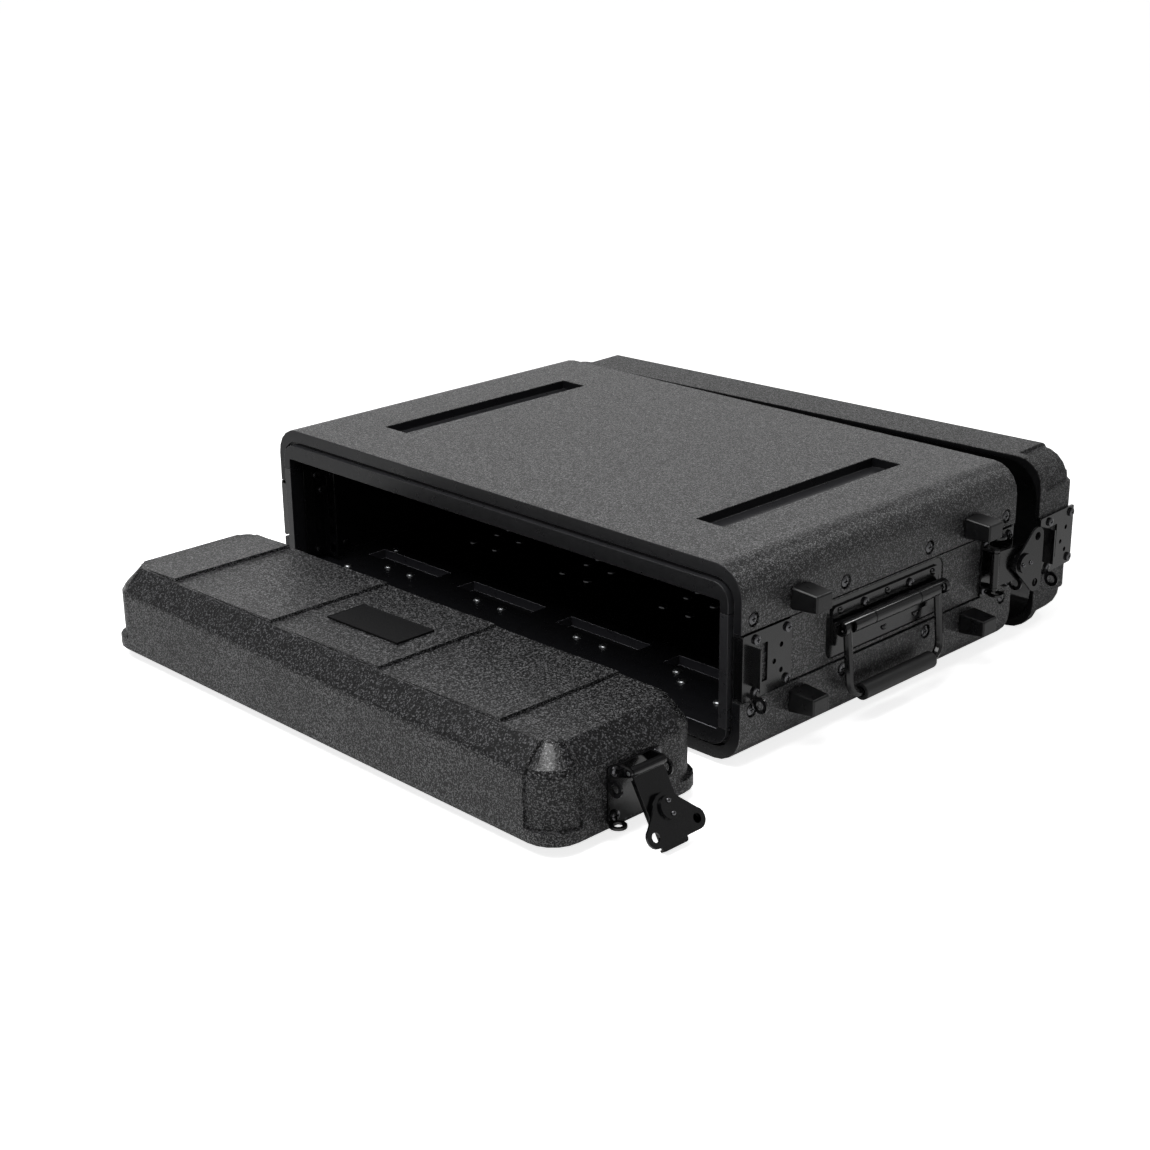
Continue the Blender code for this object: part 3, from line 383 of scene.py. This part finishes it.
def make_finish(name):
    colours = settings().colours
    # Dark colour, painted highlight colour, grain and depth in mm, roughness, gloss, and where the painted
    # highlights on the pebbles begin
    pebbled = {
        "case": ("pebble_grained_abs_case", colours.moulding, colours.moulding_painted_highlight,
                 0.75, 0.25, 0.40, 0.45, 0.56),
        "lid": ("coarse_grained_abs_lid", colours.moulding, colours.lid_painted_highlight,
                0.8, 0.30, 0.42, 0.22, 0.52),
        "lid_slope": ("coarse_grained_abs_lid_slope", colours.moulding, colours.slope_painted_highlight,
                      0.9, 0.30, 0.42, 0.22, 0.60),
        "lid_top": ("coarse_grained_abs_lid_top", colours.moulding, colours.moulding_painted_highlight,
                    0.85, 0.25, 0.42, 0.43, 0.57),
        "facet": ("fine_grained_abs_facet", colours.moulding, colours.moulding_painted_highlight,
                  0.8, 0.10, 0.26, 0.50, 0.58),
    }
    # Colour and gloss
    smooth = {
        "smooth": ("smooth_moulded_abs", colours.smooth, 0.34),
        # The rim's lighter colour is a painted sheen
        "rim": ("smooth_moulded_abs_rim", colours.rim, 0.36),
        "inside": ("smooth_moulded_abs_inside", colours.inside, 0.24),
        "inside_edge_painted_highlight": ("moulded_abs_edge_painted_highlight", colours.inside_edge_painted_highlight, 0.40),
        "inside_wall_painted_light": ("smooth_moulded_abs_pocket_painted_light", colours.inside_wall_painted_light, 0.40),
    }
    other = {
        "screw": (oxide_screw, colours.screw),
        "steel": (coated_steel, colours.steel),
        "grip": (soft_grip, colours.grip),
        "bright": (drawn_steel, colours.bright),
        "plate": (satin_plate, colours.plate),
    }
    if name in pebbled:
        return pebbled_abs(*pebbled[name])
    if name in smooth:
        return smooth_abs(*smooth[name])
    maker, colour = other[name]
    return maker(colour)


FINISHES = {}


def finish_named(name):
    """The finish of that name, made when it is first asked for."""
    if name not in FINISHES:
        FINISHES[name] = make_finish(name)
    return FINISHES[name]


# Modelling helpers

def only(piece):
    if bpy.context.mode != "OBJECT":
        bpy.ops.object.mode_set(mode="OBJECT")
    bpy.ops.object.select_all(action="DESELECT")
    piece.select_set(True)
    bpy.context.view_layer.objects.active = piece


def start_edit(piece, by_edge=False):
    """Gives the piece an empty selection of faces or edges, ready to be filled in object mode."""
    only(piece)
    bpy.context.tool_settings.mesh_select_mode = (False, by_edge, not by_edge)
    bpy.ops.object.mode_set(mode="EDIT")
    bpy.ops.mesh.select_all(action="DESELECT")
    bpy.ops.object.mode_set(mode="OBJECT")


def edit_faces(piece, test):
    """Goes into edit mode with only the faces selected that pass the test on their centre and normal."""
    start_edit(piece)
    for face in piece.data.polygons:
        face.select = test(face.center, face.normal)
    bpy.ops.object.mode_set(mode="EDIT")


def faces_up(centre, normal):
    return normal.z > 0.9


def leave_edit():
    bpy.ops.object.mode_set(mode="OBJECT")


def settle():
    """The primitive just added, with its place, turn and size moved into its mesh."""
    piece = bpy.context.active_object
    only(piece)
    bpy.ops.object.transform_apply(location=True, rotation=True, scale=True)
    return piece


def apply_modifier(piece, kind, **options):
    only(piece)
    step = piece.modifiers.new(kind.lower(), kind)
    for name, value in options.items():
        setattr(step, name, value)
    bpy.ops.object.modifier_apply(modifier=step.name)


def soften(piece, width, segments=2, angle=34):
    """Rounds the sharp edges, then shades by angle."""
    if width > 0:
        apply_modifier(piece, "BEVEL", width=width, segments=segments, limit_method="ANGLE",
                       angle_limit=math.radians(angle), use_clamp_overlap=True, miter_outer="MITER_ARC")
    shade(piece)


def shade(piece):
    """Shades by angle, with flat faces kept flat up to their rounded edges."""
    only(piece)
    bpy.ops.object.shade_smooth_by_angle(angle=SMOOTH_ANGLE)
    apply_modifier(piece, "WEIGHTED_NORMAL", keep_sharp=True, weight=80)


def remove(piece):
    bpy.data.objects.remove(piece, do_unlink=True)


def cut_away(piece, cutter):
    """Takes the cutter's shape out of the piece."""
    apply_modifier(piece, "BOOLEAN", operation="DIFFERENCE", object=cutter, solver="EXACT")
    remove(cutter)
    if not piece.data.polygons:
        raise RuntimeError(f"nothing is left of {piece.name}")


def paint(piece, *names):
    piece.data.materials.clear()
    for name in names:
        piece.data.materials.append(finish_named(name))


def dressed_copy(node):
    """A copy of a solid with its triangles merged back into whole faces."""
    piece = bpy.data.objects.new(node + "_dressed", frame["nodes"][node].data.copy())
    bpy.context.scene.collection.objects.link(piece)
    only(piece)
    bpy.ops.mesh.customdata_custom_splitnormals_clear()
    bpy.context.tool_settings.mesh_select_mode = (True, False, False)
    bpy.ops.object.mode_set(mode="EDIT")
    bpy.ops.mesh.select_all(action="SELECT")
    bpy.ops.mesh.remove_doubles(threshold=0.00001)
    bpy.ops.mesh.dissolve_limited(angle_limit=math.radians(0.4))
    leave_edit()
    return piece


def stand_for(piece, node):
    """The piece takes the place of a solid and rides where it rides."""
    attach(piece, frame["nodes"][node]["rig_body"])
    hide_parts(node)


def dress(node, finish, edge, segments=2, angle=34, cut=None):
    """Stands a copy with softened edges in for a solid, after anything has been cut from it."""
    piece = dressed_copy(node)
    if cut:
        cut(piece)
    soften(piece, edge, segments, angle)
    paint(piece, finish)
    stand_for(piece, node)


def copies_at(master, places, name, body, finish):
    """Copies of a master, each with its own mesh, joined into one piece that rides on a body."""
    copies = []
    for index, place in enumerate(places):
        copy = bpy.data.objects.new(f"{name}_{index}", master.data.copy())
        copy.data.transform(place)
        bpy.context.scene.collection.objects.link(copy)
        copies.append(copy)
    only(copies[0])
    for copy in copies:
        copy.select_set(True)
    bpy.ops.object.join()
    piece = bpy.context.view_layer.objects.active
    piece.name = name
    paint(piece, finish)
    bpy.ops.object.shade_smooth_by_angle(angle=SMOOTH_ANGLE)
    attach(piece, body)


def outward(x_sign, x, y, z):
    """A place on a side wall, with local Z out of it."""
    return Matrix.Translation((x * x_sign, y, z)) @ Matrix.Rotation(math.pi / 2 * x_sign, 4, "Y")


def plate_frame(along, across, out, place):
    """A plate's own directions, as the solid model has them."""
    return Matrix.Translation(place) @ Matrix((along, across, out)).transposed().to_4x4()


UPRIGHT = plate_frame((-1, 0, 0), (0, 0, 1), (0, 1, 0), (0, 0, 0))


def end_frame(sign, level):
    """On a lid's end wall: local X from the rim to the face, Y along the wall and Z out of the end."""
    return plate_frame((0, 0, 1), (0, -sign, 0), (sign, 0, 0), (HALF_W * sign, 0, level))


def keeper_frame(end, sign):
    """A keeper's own directions, on the case's front or on the rear lid."""
    if end == "front":
        return plate_frame((0, 1, 0), (0, 0, sign), (sign, 0, 0),
                           (WALL_X * sign, FRONT_Y + SHEET_T + GAP, MID_Z))
    return REAR_LID @ UPRIGHT @ end_frame(-sign, SHEET_T)


def latch_frame(end, sign):
    """A latch's own directions, on the case's rear or on the front lid."""
    if end == "rear":
        return plate_frame((0, -1, 0), (0, 0, -sign), (sign, 0, 0), (WALL_X * sign, REAR_Y, MID_Z))
    return FRONT_LID @ end_frame(sign, 0)


def on_plate(plate, spots):
    """Places on a plate's face."""
    return [plate @ Matrix.Translation((u, v, GAP + SHEET_T)) for u, v in spots]


def screw_master(radius, height):
    """A pan head with a cross recess, on local Z."""
    bpy.ops.object.select_all(action="DESELECT")
    bpy.ops.mesh.primitive_cylinder_add(vertices=20, radius=radius, depth=height,
                                        location=(0, 0, height / 2 - 0.0002))
    head = settle()
    edit_faces(head, faces_up)
    for share, rise in ((0.22, 0.22), (0.30, 0.10)):
        bpy.ops.mesh.inset(thickness=radius * share)
        bpy.ops.transform.translate(value=(0, 0, height * rise))
    leave_edit()
    for turn in (0, math.pi / 2):
        bpy.ops.object.select_all(action="DESELECT")
        bpy.ops.mesh.primitive_cube_add(size=1, location=(0, 0, height), rotation=(0, 0, turn),
                                        scale=(radius * 1.05, radius * 0.26, height))
        cut_away(head, settle())
    return head


def rivet_master(radius, height):
    """A low dome with a flat rim, on local Z."""
    bpy.ops.object.select_all(action="DESELECT")
    bpy.ops.mesh.primitive_cylinder_add(vertices=16, radius=radius, depth=0.0006, location=(0, 0, 0.0001))
    head = settle()
    edit_faces(head, faces_up)
    for share, rise in ((0.16, 0.55), (0.24, 0.30), (0.30, 0.15)):
        bpy.ops.mesh.inset(thickness=radius * share)
        bpy.ops.transform.translate(value=(0, 0, height * rise))
    leave_edit()
    return head


# Pieces

class RACKCASE_OT_shells(bpy.types.Operator):
    """Dress the sleeve's shells and side panels"""

    bl_idname = "rackcase.shells"
    bl_label = "Shells and side panels"

    def execute(self, context):
        for node in ("top_shell", "bottom_shell", "side_panel_left", "side_panel_right"):
            piece = dressed_copy(node)
            soften(piece, settings().sizes.moulding_edge, 3)
            if node.endswith("shell"):
                self.sink_screws(piece, CASE_SCREWS_TOP if node == "top_shell" else CASE_SCREWS_BOTTOM)
            else:
                self.open_seams(piece, 1 if node.endswith("right") else -1)
            paint(piece, "case", "rim", "inside", "inside_edge_painted_highlight", "inside_wall_painted_light")
            for face in piece.data.polygons:
                face.material_index = self.finish_index(face.center, face.normal)
            stand_for(piece, node)
        return {"FINISHED"}

    def finish_index(self, centre, normal):
        """The finish of a face: grained outside, smooth rim with a painted sheen, inside, edge of a pocket with a
        painted highlight, or wall of a pocket with painted light.
        """
        x, y, z = centre
        if abs(x) < BAY_X + 0.0008 and BAY_FLOOR - POCKET < z < BAY_ROOF + POCKET:
            low = abs(x) < BAY_X - 0.004 and z < BAY_FLOOR + 0.001
            # Rounded pocket edges take the painted highlight, and pocket walls the painted light
            if low and 0.25 < normal.z < 0.95:
                return 3
            if low and abs(normal.z) < 0.25 and abs(y) < REAR_Y - 0.012:
                return 4
            return 2
        if abs(y) > REAR_Y - RIM_DEPTH:
            return 1
        if abs(x) < HALF_W - 0.030 and CASE_TOP - POCKET < z < CASE_TOP - 0.0005:
            return 1 if normal.z > 0.9 else 2
        return 0

    def sink_screws(self, piece, level):
        """Cuts the round pockets that the case screws sit in."""
        for side, sign in SIDES:
            for y in CASE_SCREWS_Y:
                bpy.ops.object.select_all(action="DESELECT")
                bpy.ops.mesh.primitive_cylinder_add(vertices=24, radius=settings().sizes.screw_pocket,
                                                    depth=2 * SCREW_SINK, location=(HALF_W * sign, y, level),
                                                    rotation=(0, math.pi / 2, 0))
                cut_away(piece, settle())
        shade(piece)

    def open_seams(self, piece, sign):
        """Opens the seams above and below a side panel to the narrow dark gaps that show."""
        for level in (SEAM_TOP, SEAM_BOTTOM):
            bpy.ops.object.select_all(action="DESELECT")
            bpy.ops.mesh.primitive_cube_add(size=1, location=(WALL_X * sign, 0, level),
                                            scale=(0.008, 2 * REAR_Y - 0.004, settings().sizes.seam))
            cut_away(piece, settle())
        shade(piece)


class RACKCASE_OT_lids(bpy.types.Operator):
    """Dress both lids"""

    bl_idname = "rackcase.lids"
    bl_label = "Lids"

    def execute(self, context):
        for node, place in (("front_lid", FRONT_LID), ("rear_lid", REAR_LID @ UPRIGHT)):
            piece = dressed_copy(node)
            piece.data.transform(place.inverted())
            self.round_shoulder(piece)
            soften(piece, settings().sizes.lid_edge, 2, 20)
            self.border_facets(piece)
            paint(piece, "lid", "facet", "lid_top", "lid_slope", "smooth")
            for face in piece.data.polygons:
                face.material_index = self.finish_index(face.center, face.normal)
            piece.data.transform(place)
            stand_for(piece, node)
        return {"FINISHED"}

    def on_facet(self, centre, normal):
        """Whether a face belongs to a corner facet, which slopes both ways."""
        return (LID_WALL - 0.003 < centre.z < LID_FACE + 0.001 and normal.z > 0.25
                and min(abs(normal.x), abs(normal.y)) > 0.12)

    def finish_index(self, centre, normal):
        """The finish of a face: wall, corner facet, flat top, sloping edge or the smooth inside."""
        inward = normal.z < -0.5 or centre.x * normal.x + centre.y * normal.y < 0
        if inward and normal.z < 0.2 and centre.z < LID_FACE - 0.003:
            return 4
        if self.on_facet(centre, normal):
            return 1
        if centre.z < LID_WALL - 0.004:
            return 0
        return 2 if normal.z > 0.95 else 3 if normal.z > 0.35 else 0

    def border_facets(self, piece):
        """Sets each corner facet a little below a narrow border."""
        edit_faces(piece, self.on_facet)
        bpy.ops.mesh.inset(thickness=0.0011, depth=-0.0007)
        leave_edit()
        shade(piece)

    def round_shoulder(self, piece):
        """Rounds the bend between the walls and the sloping edge."""
        start_edit(piece, by_edge=True)
        points = piece.data.vertices
        for edge in piece.data.edges:
            first, last = (points[index].co for index in edge.vertices)
            level = max(abs(first.z - LID_WALL), abs(last.z - LID_WALL)) < 0.0002
            edge.select = level and (first - last).length > 0.0005
        bpy.ops.object.mode_set(mode="EDIT")
        bpy.ops.mesh.bevel(offset=settings().sizes.lid_shoulder, segments=4, clamp_overlap=True)
        leave_edit()


class RACKCASE_OT_bumpers(bpy.types.Operator):
    """Dress the eight side bumpers"""

    bl_idname = "rackcase.bumpers"
    bl_label = "Bumpers"

    def execute(self, context):
        for node in sorted(frame["nodes"]):
            if node.startswith("bumper_"):
                dress(node, "smooth", settings().sizes.bumper_edge, 3, 25)
        return {"FINISHED"}


class RACKCASE_OT_rails(bpy.types.Operator):
    """Dress the rack rails and add the screws that hold them"""

    bl_idname = "rackcase.rails"
    bl_label = "Rack rails"

    def execute(self, context):
        sizes = settings().sizes
        screw = screw_master(sizes.plate_screw, PLATE_SCREW_H)
        for side, sign in SIDES:
            dress("rack_rail_" + side, "steel", sizes.steel_edge)
            places = [outward(-sign, -RAIL_WEB, y, z) for y, z in RAIL_SCREWS]
            places += [outward(-sign, -BAY_X, y, z) for y, z in BAY_WALL_SCREWS]
            copies_at(screw, places, "rail_screws_" + side, "case", "screw")
        remove(screw)
        return {"FINISHED"}


class RACKCASE_OT_handles(bpy.types.Operator):
    """Dress the drop handles and mark the barrel's joints"""

    bl_idname = "rackcase.handles"
    bl_label = "Handles"

    def execute(self, context):
        edge = settings().sizes.steel_edge
        for side, sign in SIDES:
            dress("handle_plate_" + side, "steel", edge)
            dress("handle_hinge_" + side, "steel", edge,
                  cut=lambda piece: self.cut_joints(piece, sign))
            dress("handle_bail_" + side, "steel", 0)
            dress("handle_grip_" + side, "grip", 0.0008, 3, 50)
        return {"FINISHED"}

    def cut_joints(self, piece, sign):
        """Cuts a fine groove round the barrel at each joint."""
        for y in BARREL_JOINTS_Y:
            bpy.ops.object.select_all(action="DESELECT")
            bpy.ops.mesh.primitive_torus_add(location=(HINGE_X * sign, y, HINGE_Z),
                                             rotation=(math.pi / 2, 0, 0), major_segments=36, minor_segments=6,
                                             major_radius=BARREL_R, minor_radius=0.0009)
            cut_away(piece, settle())


class RACKCASE_OT_latches(bpy.types.Operator):
    """Dress the twist latches and the keeper plates"""

    bl_idname = "rackcase.latches"
    bl_label = "Latches and keepers"

    def execute(self, context):
        edge = settings().sizes.steel_edge
        for tag in LATCHES:
            for kind in ("base", "arm", "wing", "claw"):
                dress(f"latch_{kind}_{tag}", "steel", edge)
            dress("latch_pin_" + tag, "bright", edge, 2, 50)
        for end in ("front", "rear"):
            for side, sign in SIDES:
                plate = keeper_frame(end, sign)
                dress(f"keeper_{end}_{side}", "steel", edge,
                      cut=lambda piece: self.drill(piece, plate))
        return {"FINISHED"}

    def drill(self, piece, plate):
        """Cuts the small holes in a keeper plate."""
        for u, v in KEEPER_HOLES:
            bpy.ops.object.select_all(action="DESELECT")
            bpy.ops.mesh.primitive_cylinder_add(vertices=16, radius=settings().sizes.keeper_hole, depth=0.008)
            cutter = settle()
            cutter.data.transform(plate @ Matrix.Translation((u, v, 0)))
            cut_away(piece, cutter)


class RACKCASE_OT_case_screws(bpy.types.Operator):
    """Add the screws that join the shells to the side panels"""

    bl_idname = "rackcase.case_screws"
    bl_label = "Case screws"

    def execute(self, context):
        screw = screw_master(settings().sizes.screw, CASE_SCREW_H)
        for side, sign in SIDES:
            places = [outward(sign, HALF_W - SCREW_SINK, y, z) for y in CASE_SCREWS_Y
                      for z in (CASE_SCREWS_TOP, CASE_SCREWS_BOTTOM)]
            copies_at(screw, places, "case_screws_" + side, "case", "screw")
        remove(screw)
        return {"FINISHED"}


class RACKCASE_OT_plate_screws(bpy.types.Operator):
    """Add the screws and rivets on the keepers, the latch bases and the handles"""

    bl_idname = "rackcase.plate_screws"
    bl_label = "Plate screws and rivets"

    def execute(self, context):
        sizes = settings().sizes
        screw = screw_master(sizes.plate_screw, PLATE_SCREW_H)
        rivet = rivet_master(sizes.rivet, 0.0016)
        dot = rivet_master(sizes.drum_rivet, 0.0012)
        for side, sign in SIDES:
            for end, body in (("front", "case"), ("rear", "rear_lid")):
                places = on_plate(keeper_frame(end, sign), KEEPER_SCREWS)
                copies_at(screw, places, f"keeper_screws_{end}_{side}", body, "screw")
            for end, body in (("front", "front_lid"), ("rear", "case")):
                plate = latch_frame(end, sign)
                places = on_plate(plate, LATCH_SCREWS)
                copies_at(screw, places, f"latch_screws_{end}_{side}", body, "screw")
                drum = self.drum_frame(plate, LATCH_OPEN[end])
                places = [drum @ Matrix.Translation((along, 0, 0)) for along in DRUM_RIVETS]
                wing = frame["nodes"][f"latch_wing_{end}_{side}"]["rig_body"]
                copies_at(dot, places, f"drum_rivets_{end}_{side}", wing, "screw")
            places = [outward(sign, *spot) for spot in HANDLE_SCREWS]
            copies_at(screw, places, "handle_screws_" + side, "case", "screw")
            places = [outward(sign, *spot) for spot in HANDLE_RIVETS]
            copies_at(rivet, places, "handle_rivets_" + side, "case", "steel")
        for master in (screw, rivet, dot):
            remove(master)
        return {"FINISHED"}

    def drum_frame(self, plate, opened):
        """The top of a latch's drum: local X down the arm and Z out of the drum."""
        swing = plate_frame((-1, 0, 0), (0, -1, 0), (0, 0, 1), (HINGE_BACK, 0, HINGE_UP))
        arm = plate @ swing @ Matrix.Rotation(-opened, 4, "Y")
        return arm @ Matrix.Translation((PIVOT, 0, DRUM_TOP))


class RACKCASE_OT_bay_studs(bpy.types.Operator):
    """Add the studs on the floor of the bay"""

    bl_idname = "rackcase.bay_studs"
    bl_label = "Bay studs"

    def execute(self, context):
        stud = rivet_master(settings().sizes.stud, 0.0018)
        spots = [(x + dx, y) for x in STUD_GROUPS_X for dx, y in STUD_GROUP]
        places = [Matrix.Translation((x, y, BAY_FLOOR)) for x, y in (*spots, *FRONT_STUDS)]
        copies_at(stud, places, "bay_floor_studs", "case", "bright")
        remove(stud)
        return {"FINISHED"}


class RACKCASE_OT_badge_plate(bpy.types.Operator):
    """Add the bare badge plate on the front lid"""

    bl_idname = "rackcase.badge_plate"
    bl_label = "Badge plate"

    def execute(self, context):
        sizes = settings().sizes
        bpy.ops.object.select_all(action="DESELECT")
        bpy.ops.mesh.primitive_cube_add(size=1, location=(0, 0, BADGE_T / 2),
                                        scale=(sizes.badge_length, sizes.badge_width, BADGE_T))
        plate = settle()
        plate.name = "badge_plate"
        edit_faces(plate, faces_up)
        bpy.ops.mesh.inset(thickness=0.0010)
        bpy.ops.mesh.inset(thickness=0.0003)
        bpy.ops.transform.translate(value=(0, 0, -0.0003))
        leave_edit()
        plate.data.transform(FRONT_LID @ Matrix.Translation(BADGE_PLACE) @ Matrix.Rotation(BADGE_TILT, 4, "Y"))
        soften(plate, 0.00025)
        paint(plate, "plate")
        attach(plate, "front_lid")
        return {"FINISHED"}


def calculate(tree, operation, *values):
    return add_node(tree, "ShaderNodeMath", dict(enumerate(values)), operation=operation).outputs["Value"]


class RACKCASE_OT_stage(bpy.types.Operator):
    """Add the floor, the lights and the camera"""

    bl_idname = "rackcase.stage"
    bl_label = "Stage"

    def execute(self, context):
        self.add_floor()
        self.add_world()
        self.add_lights()
        self.add_camera()
        return {"FINISHED"}

    def add_floor(self):
        """A plain pale floor that keeps the shadow and is lifted to white for the camera only."""
        bpy.ops.object.select_all(action="DESELECT")
        bpy.ops.mesh.primitive_plane_add(size=80, location=(0, 0, FLOOR_Z - 0.0002))
        floor = bpy.context.active_object
        floor.name = "studio_floor"
        material = bpy.data.materials.new("matt_studio_paper")
        material.use_nodes = True
        tree = material.node_tree
        tree.nodes.clear()
        paper = add_node(tree, "ShaderNodeBsdfDiffuse", {"Color": (*settings().colours.floor, 1)})
        path = add_node(tree, "ShaderNodeLightPath")
        lift = calculate(tree, "MULTIPLY", path.outputs["Is Camera Ray"], FLOOR_LIFT)
        glow = add_node(tree, "ShaderNodeEmission", {"Strength": lift})
        both = add_node(tree, "ShaderNodeAddShader", {0: paper.outputs["BSDF"], 1: glow.outputs["Emission"]})
        add_node(tree, "ShaderNodeOutputMaterial", {"Surface": both.outputs["Shader"]})
        floor.data.materials.append(material)

    def add_world(self):
        """White behind the case, an even fill, and a pale far backdrop in reflections that fades upwards."""
        world = bpy.context.scene.world or bpy.data.worlds.new("studio")
        bpy.context.scene.world = world
        world.use_nodes = True
        tree = world.node_tree
        tree.nodes.clear()
        path = add_node(tree, "ShaderNodeLightPath").outputs
        way = add_node(tree, "ShaderNodeTexCoord").outputs["Generated"]
        rise = add_node(tree, "ShaderNodeSeparateXYZ", {"Vector": way}).outputs["Z"]
        behind = add_node(tree, "ShaderNodeVectorMath", {0: way, 1: BEHIND}, operation="DOT_PRODUCT")
        sheen = calculate(tree, "MULTIPLY", spread(tree, rise, 1.0, 0.15, 0.38, 0.58),
                          spread(tree, behind.outputs["Value"], 0.30, 1.0, 0.10, 0.60))
        level = calculate(tree, "MULTIPLY_ADD", path["Is Diffuse Ray"], FILL, path["Is Camera Ray"])
        level = calculate(tree, "MULTIPLY_ADD", path["Is Glossy Ray"], sheen, level)
        level = calculate(tree, "ADD", level, path["Is Transmission Ray"])
        sky = add_node(tree, "ShaderNodeBackground", {"Color": (1, 1, 1, 1), "Strength": level})
        add_node(tree, "ShaderNodeOutputWorld", {"Surface": sky.outputs["Background"]})

    def add_lights(self):
        """A softbox above the front, and a small lamp behind that draws the edges."""
        lamps = (("overhead_softbox", (0.05, -0.75, 1.25), (0.05, -0.75, 0), 1.3, 1.0, 24),
                 ("back_lamp", (0.55, 1.40, 1.45), (0, 0, 0.08), 0.15, 0.15, 2.5))
        for name, place, target, width, height, power in lamps:
            aim = (Vector(target) - Vector(place)).to_track_quat("-Z", "Y")
            bpy.ops.object.select_all(action="DESELECT")
            bpy.ops.object.light_add(type="AREA", location=place, rotation=aim.to_euler())
            lamp = bpy.context.active_object
            lamp.name = name
            lamp.data.shape = "RECTANGLE"
            lamp.data.size = width
            lamp.data.size_y = height
            lamp.data.energy = power

    def add_camera(self):
        """The camera that was fitted to the case's edges in the photo."""
        turn = (Matrix.Rotation(math.radians(45.524), 4, "Z") @ Matrix.Rotation(math.radians(69.737), 4, "X")
                @ Matrix.Rotation(math.radians(-0.658), 4, "Z"))
        bpy.ops.object.select_all(action="DESELECT")
        bpy.ops.object.camera_add(location=(1.0856, -1.13545, 0.6138), rotation=turn.to_euler())
        camera = bpy.context.active_object
        camera.name = "picture_camera"
        camera.data.sensor_width = 36
        camera.data.lens = 62.258
        camera.data.clip_end = 200
        camera.data.dof.use_dof = False
        bpy.context.scene.camera = camera


class RACKCASE_PT_panel(bpy.types.Panel):
    """Lists the pieces in the order they are made"""

    bl_idname = "RACKCASE_PT_panel"
    bl_label = "Rack case"
    bl_space_type = "VIEW_3D"
    bl_region_type = "UI"
    bl_category = "Rack case"

    def draw(self, context):
        for operator in OPERATORS:
            self.layout.operator(operator.bl_idname)


OPERATORS = (
    RACKCASE_OT_stage,
    RACKCASE_OT_shells,
    RACKCASE_OT_lids,
    RACKCASE_OT_bumpers,
    RACKCASE_OT_rails,
    RACKCASE_OT_handles,
    RACKCASE_OT_latches,
    RACKCASE_OT_case_screws,
    RACKCASE_OT_plate_screws,
    RACKCASE_OT_bay_studs,
    RACKCASE_OT_badge_plate,
)
CLASSES = (RackCaseColours, RackCaseSizes, RackCaseSettings, *OPERATORS, RACKCASE_PT_panel)


def register():
    for item in CLASSES:
        bpy.utils.register_class(item)
    bpy.types.Scene.rack_case = PointerProperty(type=RackCaseSettings)


def unregister():
    del bpy.types.Scene.rack_case
    for item in reversed(CLASSES):
        bpy.utils.unregister_class(item)


def main():
    register()
    bpy.context.scene.view_settings.view_transform = "Standard"
    bpy.ops.rackcase.stage()
    bpy.ops.rackcase.shells()
    bpy.ops.rackcase.lids()
    bpy.ops.rackcase.bumpers()
    bpy.ops.rackcase.rails()
    bpy.ops.rackcase.handles()
    bpy.ops.rackcase.latches()
    bpy.ops.rackcase.case_screws()
    bpy.ops.rackcase.plate_screws()
    bpy.ops.rackcase.bay_studs()
    bpy.ops.rackcase.badge_plate()
    bpy.context.view_layer.update()


if __name__ == "__main__":
    main()
